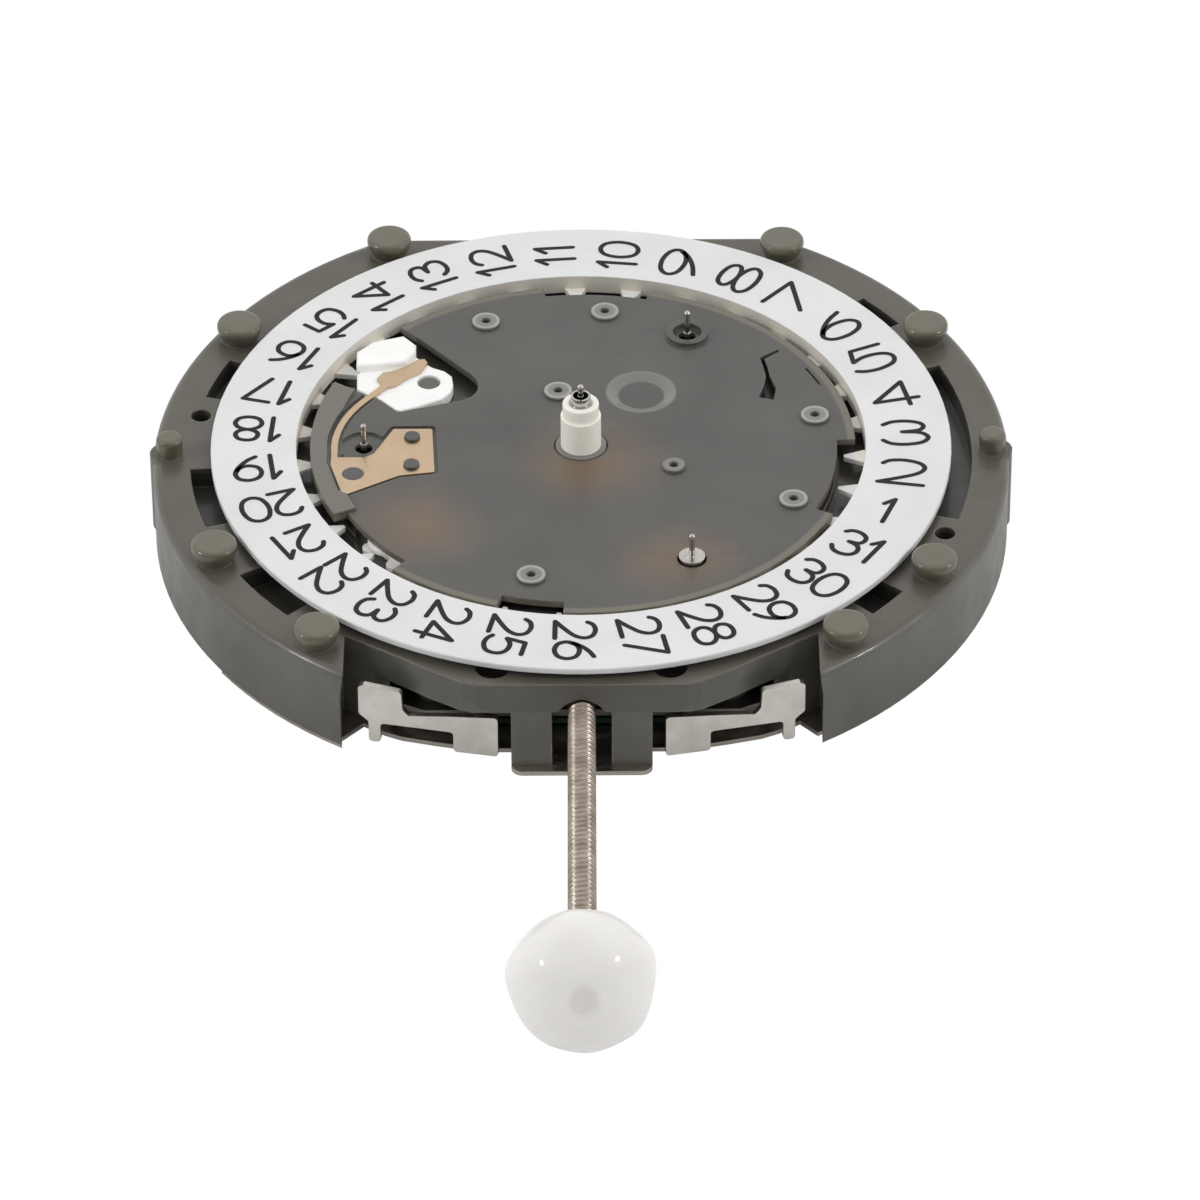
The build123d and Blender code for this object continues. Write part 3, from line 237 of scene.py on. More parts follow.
class Look:
    """Builds one procedural material from a finish.

    Args:
        finish: what the material looks like.
    """

    def __init__(self, finish: Finish) -> None:
        """Start an empty material."""
        self.finish = finish
        self.material = bpy.data.materials.new(finish.name)
        self.material.use_nodes = True
        self.nodes = self.material.node_tree.nodes
        self.links = self.material.node_tree.links
        self.shader = self.nodes["Principled BSDF"]
        self.position = self.nodes.new("ShaderNodeTexCoord").outputs["Object"]

    def noise(self, size: float, detail: float, stretch: Sequence[float] | None = None) -> Socket:
        """Add a noise texture.

        Args:
            size: patch size in millimetres.
            detail: octaves of finer noise.
            stretch: scale of each axis, for brushed grain.

        Returns:
            The texture's factor.
        """
        texture = self.nodes.new("ShaderNodeTexNoise")
        texture.inputs["Scale"].default_value = 1.0 / (size * MM)
        texture.inputs["Detail"].default_value = detail
        source = self.position
        if stretch is not None:
            mapping = self.nodes.new("ShaderNodeMapping")
            mapping.inputs["Scale"].default_value = stretch
            self.links.new(source, mapping.inputs["Vector"])
            source = mapping.outputs["Vector"]
        self.links.new(source, texture.inputs["Vector"])
        return texture.outputs["Fac"]

    def between(self, factor: Socket, low: float, high: float, span: Point = NOISE_MIDDLE) -> Socket:
        """Map a factor to a range.

        Args:
            factor: the value to map.
            low: what the span's start becomes.
            high: what its end becomes.
            span: the two values that are mapped.

        Returns:
            The mapped value.
        """
        return map_range(self.material.node_tree, factor, span, (low, high))

    def mixed(self, factor: Socket, first: Socket | Colour, second: Socket | Colour) -> Socket:
        """Mix two colours.

        Args:
            factor: share of the second colour.
            first: a socket or a plain colour.
            second: the same.

        Returns:
            The mixed colour.
        """
        node = self.nodes.new("ShaderNodeMix")
        node.data_type = "RGBA"
        for socket, value in ((node.inputs[6], first), (node.inputs[7], second)):
            if isinstance(value, tuple):
                socket.default_value = (*value, 1.0)
            else:
                self.links.new(value, socket)
        self.links.new(factor, node.inputs[0])
        return node.outputs[2]

    def maths(self, operation: str, first: Socket | float, second: Socket | float) -> Socket:
        """Join two values.

        Args:
            operation: name of the node's operation.
            first: a socket or a number.
            second: the same.

        Returns:
            The joined value.
        """
        node = self.nodes.new("ShaderNodeMath")
        node.operation = operation
        for socket, value in zip(node.inputs, (first, second)):
            if isinstance(value, float):
                socket.default_value = value
            else:
                self.links.new(value, socket)
        return node.outputs["Value"]

    def plan_distance(self, place: Point) -> Socket:
        """Measure how far each point lies from an upright axis.

        Args:
            place: where the axis stands in plan, in millimetres.

        Returns:
            The distance in metres.
        """
        flat = self.nodes.new("ShaderNodeVectorMath")
        flat.operation = "MULTIPLY"
        flat.inputs[1].default_value = PLAN_ONLY
        self.links.new(self.position, flat.inputs[0])
        reach = self.nodes.new("ShaderNodeVectorMath")
        reach.operation = "DISTANCE"
        reach.inputs[1].default_value = (place[0] * MM, place[1] * MM, 0.0)
        self.links.new(flat.outputs["Vector"], reach.inputs[0])
        return reach.outputs["Value"]

    def glow_factor(self, glow: Glow) -> Socket:
        """Make a soft round patch with a wavy outline.

        Args:
            glow: the patch.

        Returns:
            Strength of the tint at each point, 0 outside the patch.
        """
        reach = self.plan_distance(glow.place)
        wobble = self.nodes.new("ShaderNodeMath")
        wobble.operation = "MULTIPLY_ADD"
        wobble.inputs[1].default_value = glow.radius * MM * GLOW_WOBBLE_SHARE
        self.links.new(self.noise(glow.radius * GLOW_GRAIN_SHARE, GLOW_DETAIL), wobble.inputs[0])
        self.links.new(reach, wobble.inputs[2])
        span = (glow.radius * MM * GLOW_INNER_SHARE, glow.radius * MM * GLOW_OUTER_SHARE)
        return self.between(wobble.outputs["Value"], glow.amount, 0.0, span)

    def band(self, value: Socket, low: float, high: float, blur: float) -> Socket:
        """Tell whether a length lies in a range.

        Args:
            value: the length in metres.
            low: start of the range in millimetres.
            high: end of the range in millimetres.
            blur: half width of the soft ends in millimetres.

        Returns:
            One inside the range and 0 outside it.
        """
        rising = self.between(value, 0.0, 1.0, ((low - blur) * MM, (low + blur) * MM))
        falling = self.between(value, 1.0, 0.0, ((high - blur) * MM, (high + blur) * MM))
        return self.maths("MULTIPLY", rising, falling)

    def zone_factor(self, zone: Zone) -> Socket:
        """Tell whether a point lies in a zone.

        Args:
            zone: the zone.

        Returns:
            One inside the zone and 0 outside it.
        """
        split = self.nodes.new("ShaderNodeSeparateXYZ")
        self.links.new(self.position, split.inputs["Vector"])
        across = self.band(self.plan_distance(zone.place), zone.inner, zone.outer, ACROSS_BLUR)
        upright = self.band(split.outputs["Z"], zone.low, zone.high, UPRIGHT_BLUR)
        line = (zone.behind * MM, (zone.behind + BEHIND_BLUR) * MM)
        beyond = self.between(split.outputs["Y"], 0.0, 1.0, line)
        return self.maths("MULTIPLY", self.maths("MULTIPLY", across, upright), beyond)

    def rounded(self) -> tuple[Socket, Socket]:
        """Soften the edges.

        Returns:
            The softened normal, and how near each point is to an edge.
        """
        bevel = self.nodes.new("ShaderNodeBevel")
        bevel.samples = BEVEL_SAMPLES
        bevel.inputs["Radius"].default_value = self.finish.edge_round * MM
        apart = self.nodes.new("ShaderNodeVectorMath")
        apart.operation = "DOT_PRODUCT"
        self.links.new(bevel.outputs["Normal"], apart.inputs[0])
        self.links.new(self.nodes.new("ShaderNodeNewGeometry").outputs["True Normal"], apart.inputs[1])
        return bevel.outputs["Normal"], self.between(apart.outputs["Value"], 1.0, 0.0, EDGE_COSINES)

    def uneven(self, height: Socket, depth: float, normal: Socket | None) -> Socket:
        """Disturb a normal by a height texture.

        Args:
            height: the texture.
            depth: how deep it is, in millimetres.
            normal: the normal to disturb, or none for the surface's own.

        Returns:
            The new normal.
        """
        bump = self.nodes.new("ShaderNodeBump")
        bump.inputs["Distance"].default_value = depth * MM
        self.links.new(height, bump.inputs["Height"])
        if normal is not None:
            self.links.new(normal, bump.inputs["Normal"])
        return bump.outputs["Normal"]

    def painted(self) -> tuple[Socket, Socket | None]:
        """Lay the colour patches, the glows and the zones, among them painted shade and painted highlights.

        Returns:
            The colour, and the weight of the clear top layer if a zone changes it.
        """
        finish = self.finish
        patches = self.between(self.noise(finish.grain, PATCH_DETAIL), 0.0, 1.0)
        colour = self.mixed(patches, finish.dark, finish.light)
        for glow in finish.glows:
            colour = self.mixed(self.glow_factor(glow), colour, finish.glow_colour)
        coat = None
        for zone in finish.zones:
            inside = self.zone_factor(zone)
            colour = self.mixed(self.maths("MULTIPLY", inside, zone.amount), colour, zone.colour)
            if zone.shine > 0.0:
                shine = self.maths("MULTIPLY", inside, zone.shine)
                coat = self.maths("MAXIMUM", shine, finish.coat if coat is None else coat)
        return colour, coat

    def build(self) -> bpy.types.Material:
        """Wire the nodes.

        Returns:
            The finished material.
        """
        finish, inputs = self.finish, self.shader.inputs
        stretch = BRUSHED_STRETCH if finish.family is Family.METAL else None
        colour, coat = self.painted()
        normal = None
        if finish.edge_round > 0.0:
            normal, nearness = self.rounded()
            # Painted highlight: near an edge the colour is mixed towards a paler one.
            if finish.edge > 0.0:
                pale = tuple(min(1.0, part * (1.0 + finish.edge)) for part in finish.light)
                colour = self.mixed(nearness, colour, pale)
        self.links.new(colour, inputs["Base Color"])
        # Painted glow: the colour is also emitted as light.
        if finish.lit > 0.0:
            self.links.new(colour, inputs["Emission Color"])
            inputs["Emission Strength"].default_value = finish.lit
        rough = self.noise(finish.grain * ROUGH_GRAIN_SHARE, ROUGH_DETAIL, stretch)
        low, high = finish.roughness - finish.spread, finish.roughness + finish.spread
        self.links.new(self.between(rough, low, high), inputs["Roughness"])
        if finish.swell > 0.0:
            broad = self.noise(finish.swell_grain, SWELL_DETAIL, SWELL_STRETCH)
            normal = self.uneven(broad, finish.swell, normal)
        fine = self.noise(finish.bump_grain, FINE_DETAIL, stretch)
        self.links.new(self.uneven(fine, finish.bump * BUMP_SHARE, normal), inputs["Normal"])
        plain = {
            "Metallic": 1.0 if finish.family in (Family.METAL, Family.WIRE) else 0.0,
            "Subsurface Weight": finish.subsurface,
            "Subsurface Radius": SCATTER_RADII,
            "Subsurface Scale": finish.scatter * MM,
            "Coat Weight": finish.coat,
            "Coat Roughness": finish.coat_roughness,
            "Specular IOR Level": finish.specular,
        }
        for name, value in plain.items():
            inputs[name].default_value = value
        if coat is not None:
            self.links.new(coat, inputs["Coat Weight"])
        return self.material


STAKES = ((-3.12, 6.80), (0.80, 7.33), (-0.74, 2.89), (7.58, 1.49), (6.78, -3.03), (-1.58, -6.95))
# Painted highlight: a lighter ring round each stake's head.
STAKE_RIM_HIGHLIGHTS = tuple(
    Zone(
        inner=0.36, outer=0.50, low=3.28, high=3.40, colour=(0.46, 0.45, 0.41), amount=0.9, place=place,
        shine=0.6,
    )
    for place in STAKES
)
PEG_TINT = Zone(inner=12.0, outer=14.2, low=3.03, high=3.80, colour=(0.128, 0.117, 0.077), shine=0.6)
# Painted shade: the ledge top beside the ring is darker and browner.
LEDGE_PAINTED_SHADE = Zone(inner=11.9, outer=13.9, low=2.93, high=3.03, colour=(0.092, 0.080, 0.058), amount=0.65)
# Painted shade: the front wall round the stem is darker.
FRONT_PAINTED_SHADE = Zone(inner=11.4, outer=12.75, low=2.05, high=2.96, colour=(0.075, 0.072, 0.066), amount=0.45)
STAKE_TINT = Zone(inner=0.0, outer=8.7, low=3.20, high=3.40, colour=(0.235, 0.230, 0.205))
# Painted shade: the pockets beside the ring are darker inside.
POCKET_PAINTED_SHADE = Zone(
    inner=10.6, outer=12.8, low=2.10, high=2.80, colour=(0.050, 0.048, 0.042), amount=0.8, behind=-9.3,
)
# Painted shade: the plate's floor under the guard and the ring is darker.
FLOOR_PAINTED_SHADE = Zone(inner=0.0, outer=10.2, low=2.20, high=2.90, colour=(0.040, 0.036, 0.030), amount=0.85)
# Cream tone of the ring's translucent inner wall, also lightened as painted light where the wall lies in
# shade.
INNER_RIM_CREAM_AND_GLOW = Zone(inner=9.0, outer=9.26, low=2.60, high=3.38, colour=(0.93, 0.88, 0.78))
COLLAR_TINT = Zone(inner=-1.0, outer=1.2, low=2.0, high=3.27, colour=(0.120, 0.118, 0.110), amount=0.92)
# Painted highlight: the top of the guard's raised rim is lighter.
GUARD_RIM_HIGHLIGHT = Zone(
    inner=7.93, outer=8.80, low=3.24, high=3.40, colour=(0.172, 0.163, 0.132), amount=0.9, shine=0.3,
)
# Painted highlight on the sloped wall of the guard's dimple.
DIMPLE_SLOPE_HIGHLIGHT = Zone(
    inner=0.74, outer=1.14, low=3.00, high=3.26, colour=(0.225, 0.218, 0.195), amount=0.85,
    place=(1.96, 2.90), shine=0.6,
)
# Painted shade in the floor of the guard's dimple.
DIMPLE_FLOOR_SHADE = Zone(
    inner=-1.0, outer=0.74, low=3.00, high=3.15, colour=(0.080, 0.078, 0.072), amount=0.6,
    place=(1.96, 2.90),
)
# Painted light: the guard's outer edge wall is lighter and warmer.
GUARD_EDGE_PAINTED_LIGHT = Zone(
    inner=8.60, outer=8.95, low=2.95, high=3.26, colour=(0.200, 0.182, 0.140), amount=0.75,
)
# Painted light: the walls of the guard's cut-outs are lighter and warmer.
CUT_EDGE_PAINTED_LIGHT = Zone(
    inner=8.12, outer=8.60, low=2.95, high=3.20, colour=(0.200, 0.182, 0.140), amount=0.75,
)
GUARD_GLOWS = (
    Glow((0.2, -0.9), radius=2.7, amount=0.44),
    Glow((-5.2, -4.3), radius=2.5, amount=0.44),
    Glow((2.9, -6.2), radius=2.3, amount=0.36),
    Glow((4.2, -6.0), radius=1.2, amount=0.16),
)

# Its edge value paints highlights along the edges. Its zones paint shade on the ledge, the front wall, the
# pockets and the floor, and highlights round the stake heads.
GREY_PLASTIC = Finish(
    "grey_plastic_look", Family.PLASTIC, light=(0.136, 0.130, 0.110), dark=(0.106, 0.100, 0.083),
    roughness=0.34, spread=0.06, grain=2.4, bump=0.004, bump_grain=0.22, subsurface=0.10, coat=0.24,
    coat_roughness=0.10, edge=0.55, edge_round=0.11, swell=0.16,
    zones=(LEDGE_PAINTED_SHADE, FRONT_PAINTED_SHADE, PEG_TINT, STAKE_TINT, POCKET_PAINTED_SHADE, FLOOR_PAINTED_SHADE, *STAKE_RIM_HIGHLIGHTS),
)
# Its edge value paints highlights along the edges. Its zones paint light on the edge walls and the raised
# rim, a highlight on the dimple's slope and shade in the dimple's floor.
GUARD_PLASTIC = Finish(
    "guard_plastic_look", Family.PLASTIC, light=(0.100, 0.097, 0.089), dark=(0.084, 0.081, 0.074),
    roughness=0.36, spread=0.05, grain=3.0, bump_grain=0.16, subsurface=0.06, coat=0.16, edge=0.75,
    edge_round=0.06, swell=0.03, swell_grain=3.0, glows=GUARD_GLOWS, glow_colour=(0.29, 0.175, 0.085),
    zones=(GUARD_EDGE_PAINTED_LIGHT, CUT_EDGE_PAINTED_LIGHT, GUARD_RIM_HIGHLIGHT, DIMPLE_SLOPE_HIGHLIGHT, DIMPLE_FLOOR_SHADE),
)
RING_WHITE = Finish(
    "ring_white_look", Family.PLASTIC, light=(0.855, 0.855, 0.85), dark=(0.805, 0.805, 0.80),
    roughness=0.42, spread=0.04, grain=2.0, bump=0.001, bump_grain=0.20, subsurface=0.10, coat=0.05,
    zones=(INNER_RIM_CREAM_AND_GLOW,), edge_round=0.03,
)
# Its lit value paints a glow into the white parts.
PART_WHITE = Finish(
    "part_white_look", Family.PLASTIC, light=(0.95, 0.94, 0.92), dark=(0.90, 0.89, 0.87), roughness=0.30,
    spread=0.05, grain=0.8, bump=0.001, subsurface=0.15, coat=0.20, edge_round=0.05, lit=0.14,
)
# Its lit value paints a glow into the knob, which is lit far less by the lamps.
KNOB_WHITE = Finish(
    "knob_white_look", Family.PLASTIC, light=(0.70, 0.695, 0.68), dark=(0.68, 0.675, 0.66), roughness=0.15,
    spread=0.02, grain=3.0, bump=0.001, bump_grain=0.8, subsurface=0.85, edge_round=0.0, scatter=2.4,
    lit=0.26, specular=0.4,
)
# Its lit value paints a glow into the hour pipe.
PIPE_WHITE = Finish(
    "pipe_white_look", Family.PLASTIC, light=(0.95, 0.92, 0.83), dark=(0.90, 0.87, 0.78), roughness=0.40,
    spread=0.04, grain=0.5, bump=0.001, bump_grain=0.10, subsurface=0.20, zones=(COLLAR_TINT,),
    edge_round=0.04, lit=0.16,
)
WHEEL_CREAM = Finish(
    "wheel_cream_look", Family.PLASTIC, light=(0.66, 0.62, 0.50), dark=(0.58, 0.54, 0.43), roughness=0.45,
)
STEEL = Finish(
    "steel_look", Family.METAL, light=(0.62, 0.60, 0.57), dark=(0.50, 0.48, 0.45), roughness=0.20,
    spread=0.06, grain=0.35, bump=0.001, bump_grain=0.05, edge_round=0.02,
)
STEM_STEEL = Finish(
    "stem_steel_look", Family.METAL, light=(0.51, 0.445, 0.38), dark=(0.33, 0.275, 0.23), roughness=0.33,
    spread=0.06, grain=0.5, bump=0.001, bump_grain=0.05, edge_round=0.0,
)
LEVER_STEEL = Finish(
    "lever_steel_look", Family.METAL, light=(0.80, 0.77, 0.71), dark=(0.68, 0.65, 0.59), roughness=0.33,
    spread=0.06, grain=0.8, bump=0.0015, bump_grain=0.06, edge_round=0.03,
)
BACK_STEEL = Finish(
    "back_steel_look", Family.METAL, light=(0.56, 0.52, 0.46), dark=(0.46, 0.42, 0.36), roughness=0.34,
    spread=0.07, grain=1.2, bump=0.001, bump_grain=0.10,
)
IRON = Finish(
    "iron_look", Family.METAL, light=(0.40, 0.39, 0.37), dark=(0.32, 0.31, 0.29), roughness=0.40,
    spread=0.06,
)
COPPER = Finish(
    "copper_look", Family.METAL, light=(0.67, 0.505, 0.35), dark=(0.61, 0.455, 0.305), roughness=0.34,
    spread=0.03, grain=1.6, bump=0.0005, bump_grain=0.30, edge_round=0.02,
)
BRASS = Finish(
    "brass_look", Family.METAL, light=(0.70, 0.50, 0.22), dark=(0.60, 0.42, 0.17), roughness=0.30,
)
WIRE = Finish(
    "wire_look", Family.WIRE, light=(0.50, 0.17, 0.08), dark=(0.38, 0.12, 0.05), roughness=0.32,
    spread=0.06, grain=0.3, bump=0.010, bump_grain=0.05,
)
CELL = Finish(
    "cell_look", Family.METAL, light=(0.62, 0.62, 0.60), dark=(0.52, 0.52, 0.50), roughness=0.22,
    spread=0.05, grain=1.5,
)
MAGNET = Finish(
    "magnet_look", Family.METAL, light=(0.10, 0.10, 0.11), dark=(0.07, 0.07, 0.08), roughness=0.45,
)
BOARD = Finish(
    "board_look", Family.PLASTIC, light=(0.02, 0.09, 0.04), dark=(0.015, 0.065, 0.03), roughness=0.38,
    spread=0.05, grain=1.0, bump_grain=0.15,
)
CHIP = Finish(
    "chip_look", Family.PLASTIC, light=(0.020, 0.020, 0.020), dark=(0.014, 0.014, 0.014), roughness=0.55,
)
INK = Finish(
    "ink_look", Family.INK, light=(0.016, 0.018, 0.023), dark=(0.012, 0.014, 0.018), roughness=0.45,
    spread=0.05, grain=0.4, bump=0.001, bump_grain=0.05, edge_round=0.0, specular=0.22,
)

MOTORS = ("centre", "six", "ten", "two")
MOTOR_FINISH: dict[str, Finish] = {
    "stator": IRON,
    "coil_core": IRON,
    "winding": WIRE,
    "rotor": MAGNET,
    "reduction_wheel": WHEEL_CREAM,
    "hand_arbor": STEEL,
}
NODE_FINISH: dict[str, Finish] = {
    "main_plate": GREY_PLASTIC,
    "date_guard": GUARD_PLASTIC,
    "date_ring": RING_WHITE,
    "date_ring_teeth": RING_WHITE,
    "date_jumper": PART_WHITE,
    "date_jumper_head": PART_WHITE,
    "date_driving_wheel": PART_WHITE,
    "date_intermediate_wheel": PART_WHITE,
    "hour_wheel": PIPE_WHITE,
    "minute_pipe": STEEL,
    "minute_wheel": WHEEL_CREAM,
    "setting_wheel": WHEEL_CREAM,
    "centre_wheel": BRASS,
    "near_idler": WHEEL_CREAM,
    "far_idler": WHEEL_CREAM,
    "third_wheel": WHEEL_CREAM,
    "jumper_spring": COPPER,
    "back_plate": BACK_STEEL,
    "battery_clamp": STEEL,
    "battery": CELL,
    "plate_screws": STEEL,
    "circuit_board": BOARD,
    "chip": CHIP,
    "quartz_can": CELL,
    "train_bridge": IRON,
    "setting_posts": STEEL,
    "setting_lever": STEEL,
    "yoke": STEEL,
    "clutch_wheel": STEEL,
    "four_oclock_push_lever": LEVER_STEEL,
    "two_oclock_push_lever": LEVER_STEEL,
    **{f"{motor}_{part}": finish for motor in MOTORS for part, finish in MOTOR_FINISH.items()},
}


class Looks:
    """Keeps one material for each finish."""

    def __init__(self) -> None:
        """Start with no materials."""
        self.made: dict[str, bpy.types.Material] = {}

    def get(self, finish: Finish) -> bpy.types.Material:
        """Find a finish's material, building it on first use.

        Args:
            finish: what the material looks like.

        Returns:
            The material.
        """
        if finish.name not in self.made:
            self.made[finish.name] = Look(finish).build()
        return self.made[finish.name]


def curve_through(points: Sequence[Point], steps: int, closed: bool = False) -> list[Point]:
    """Smooth line through points.

    Args:
        points: places that the line passes.
        steps: samples between two places.
        closed: whether the line returns to its start.

    Returns:
        Sampled points along the line.
    """
    count = len(points)
    sampled: list[Point] = []
    spans = count if closed else count - 1
    for index in range(spans):
        around = []
        for shift in (-1, 0, 1, 2):
            place = index + shift
            around.append(points[place % count] if closed else points[min(max(place, 0), count - 1)])
        before, start, end, after = around
        for step in range(steps):
            t = step / steps
            sampled.append(tuple(
                0.5 * (2 * start[a] + (end[a] - before[a]) * t
                       + (2 * before[a] - 5 * start[a] + 4 * end[a] - after[a]) * t * t
                       + (3 * start[a] - before[a] - 3 * end[a] + after[a]) * t**3)
                for a in (0, 1)
            ))
    sampled.append(points[0] if closed else points[-1])
    return sampled


@dataclass(frozen=True)
class Stroke:
    """One pen stroke of a numeral, in shares of its width and height.

    Args:
        points: places from the stroke's start to its end.
        curved: whether it runs smoothly through them.
        closed: whether it is a loop.
    """

    points: tuple[Point, ...]
    curved: bool = True
    closed: bool = False

    def line(self, width: float, height: float) -> list[Point]:
        """Scale the stroke to a numeral.

        Args:
            width: width of the numeral, in millimetres.
            height: height of the numeral, in millimetres.

        Returns:
            Points along the stroke.
        """
        scaled = [(x * width, y * height) for x, y in self.points]
        if not self.curved:
            return scaled
        return curve_through(scaled, CURVE_STEPS, self.closed)


OVAL = Stroke(
    ((1.0, 0.5), (0.86, 0.87), (0.5, 1.0), (0.14, 0.87), (0.0, 0.5), (0.14, 0.13), (0.5, 0.0), (0.86, 0.13)),
    closed=True,
)
TWO_BOW = (
    (0.03, 0.80), (0.18, 0.94), (0.50, 1.0), (0.84, 0.92), (0.96, 0.72), (0.82, 0.48), (0.45, 0.24),
    (0.0, 0.0),
)
THREE_TOP = (
    (0.03, 0.86), (0.24, 0.98), (0.56, 1.0), (0.84, 0.91), (0.92, 0.75), (0.80, 0.60), (0.44, 0.54),
)
THREE_FOOT = (
    (0.44, 0.54), (0.84, 0.49), (1.0, 0.29), (0.86, 0.08), (0.50, 0.0), (0.18, 0.05), (0.0, 0.20),
)
FIVE_BOW = (
    (0.08, 0.52), (0.34, 0.63), (0.66, 0.63), (0.92, 0.52), (1.0, 0.32), (0.88, 0.10), (0.54, 0.0),
    (0.22, 0.03), (0.0, 0.14),
)
SIX_STEM = (
    (0.86, 0.98), (0.52, 0.84), (0.20, 0.60), (0.02, 0.32), (0.14, 0.09), (0.50, 0.0), (0.86, 0.09),
    (1.0, 0.32), (0.86, 0.54), (0.50, 0.62), (0.20, 0.54), (0.04, 0.36),
)
EIGHT_TOP = (
    (0.50, 0.54), (0.18, 0.62), (0.08, 0.77), (0.20, 0.94), (0.50, 1.0), (0.80, 0.94), (0.92, 0.77),
    (0.82, 0.62),
)
EIGHT_FOOT = (
    (0.50, 0.54), (0.14, 0.45), (0.0, 0.27), (0.14, 0.07), (0.50, 0.0), (0.86, 0.07), (1.0, 0.27),
    (0.86, 0.45),
)
NUMERALS: dict[str, tuple[Stroke, ...]] = {
    "0": (OVAL,),
    "1": (Stroke(((0.10, 0.74), (0.62, 1.0), (0.62, 0.0)), False),),
    "2": (Stroke(TWO_BOW), Stroke(((0.0, 0.0), (1.0, 0.0)), False)),
    "3": (Stroke(THREE_TOP), Stroke(THREE_FOOT)),
    "4": (Stroke(((0.76, 0.0), (0.76, 1.0), (0.0, 0.26), (1.0, 0.26)), False),),
    "5": (Stroke(((0.90, 1.0), (0.20, 1.0), (0.08, 0.52)), False), Stroke(FIVE_BOW)),
    "6": (Stroke(SIX_STEM),),
    "7": (Stroke(((0.0, 1.0), (1.0, 1.0), (0.30, 0.0)), False),),
    "8": (Stroke(EIGHT_TOP, closed=True), Stroke(EIGHT_FOOT, closed=True)),
    "9": (Stroke(tuple((1.0 - x, 1.0 - y) for x, y in SIX_STEM)),),
}


class Ribbon:
    """Adds flat strokes with round ends to a mesh, each a little above the last so that none coincide.

    Args:
        mesh: mesh that gets the strokes.
        width: width of a stroke, in millimetres.
        base: height of the lowest stroke, in millimetres.
    """

    LIFT = 0.0005
    DOT_SIDES = 10
    SHARP_COSINE = 0.7

    def __init__(self, mesh: bmesh.types.BMesh, width: float, base: float) -> None:
        """Start at the lowest height."""
        self.mesh = mesh
        self.half = width / 2
        self.base = base
        self.z = base

    def restart(self) -> None:
        """Begin another numeral at the lowest height."""
        self.z = self.base

    def vertex(self, x: float, y: float) -> bmesh.types.BMVert:
        """Add one vertex given in millimetres."""
        return self.mesh.verts.new((x * MM, y * MM, self.z * MM))

    def dot(self, centre: Point) -> None:
        """Add a round dot for a corner or an end.

        Args:
            centre: place of the dot in plan, in millimetres.
        """
        self.z += self.LIFT
        ring = []
        for k in range(self.DOT_SIDES):
            turn = tau * k / self.DOT_SIDES
            ring.append(self.vertex(centre[0] + self.half * cos(turn), centre[1] + self.half * sin(turn)))
        self.mesh.faces.new(ring)

    def pair(self, point: Point, normal: Point) -> tuple[bmesh.types.BMVert, bmesh.types.BMVert]:
        """Add the ribbon's two edge vertices at a point.

        Args:
            point: place on the middle line, in millimetres.
            normal: unit vector to the ribbon's left.

        Returns:
            The right and the left vertex.
        """
        over, up = normal[0] * self.half, normal[1] * self.half
        right = self.vertex(point[0] - over, point[1] - up)
        left = self.vertex(point[0] + over, point[1] + up)
        return right, left

    def line(self, points: Sequence[Point]) -> None:
        """Lay a ribbon along a line, mitred where it bends and dotted where it turns sharply.

        Args:
            points: places along the line, in millimetres.
        """
        normals = []
        for start, end in zip(points, points[1:]):
            dx, dy = end[0] - start[0], end[1] - start[1]
            length = hypot(dx, dy) or 1.0
            normals.append((-dy / length, dx / length))
        last = None
        for index, point in enumerate(points):
            before = normals[max(index - 1, 0)]
            after = normals[min(index, len(normals) - 1)]
            sharp = before[0] * after[0] + before[1] * after[1] < self.SHARP_COSINE
            if sharp and last is not None:
                pair = self.pair(point, before)
                self.mesh.faces.new((last[0], pair[0], pair[1], last[1]))
                self.dot(point)
                self.z += self.LIFT
                last = self.pair(point, after)
                continue
            mean = (before[0] + after[0], before[1] + after[1])
            size = hypot(*mean) or 1.0
            pair = self.pair(point, (mean[0] / size, mean[1] / size))
            if last is not None:
                self.mesh.faces.new((last[0], pair[0], pair[1], last[1]))
            last = pair
        self.dot(points[0])
        self.dot(points[-1])
        self.z += self.LIFT


@dataclass
class Piece:
    """A visual piece that rides on a CAD body.

    Args:
        name: object name.
        body: body that it moves with.
        finish: its material.
        slot: material slot of the record; not used.
        replaces: CAD nodes that it stands for.
        smooth: whether its faces are shaded smooth.
    """

    name: str
    body: str
    finish: Finish
    slot: str
    replaces: tuple[str, ...] = ()
    smooth: bool = True

    def fill(self, mesh: bmesh.types.BMesh) -> None:
        """Add the piece's faces to the mesh."""
        raise NotImplementedError

    def orient(self, mesh: bmesh.types.BMesh) -> None:
        """Turn the faces of a closed piece outwards."""
        bmesh.ops.recalc_face_normals(mesh, faces=mesh.faces)

    def place(self, looks: Looks) -> bpy.types.Object:
        """Build the object and attach it to its body.

        Args:
            looks: materials of the scene.

        Returns:
            The finished object.
        """
        mesh = bmesh.new()
        self.fill(mesh)
        self.orient(mesh)
        data = bpy.data.meshes.new(self.name)
        mesh.to_mesh(data)
        mesh.free()
        if self.smooth:
            data.shade_smooth()
        piece = bpy.data.objects.new(self.name, data)
        bpy.context.scene.collection.objects.link(piece)
        data.materials.append(looks.get(self.finish))
        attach(piece, self.body)
        if self.replaces:
            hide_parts(*self.replaces)
        LOG.info("%s has %d faces", self.name, len(data.polygons))
        return piece


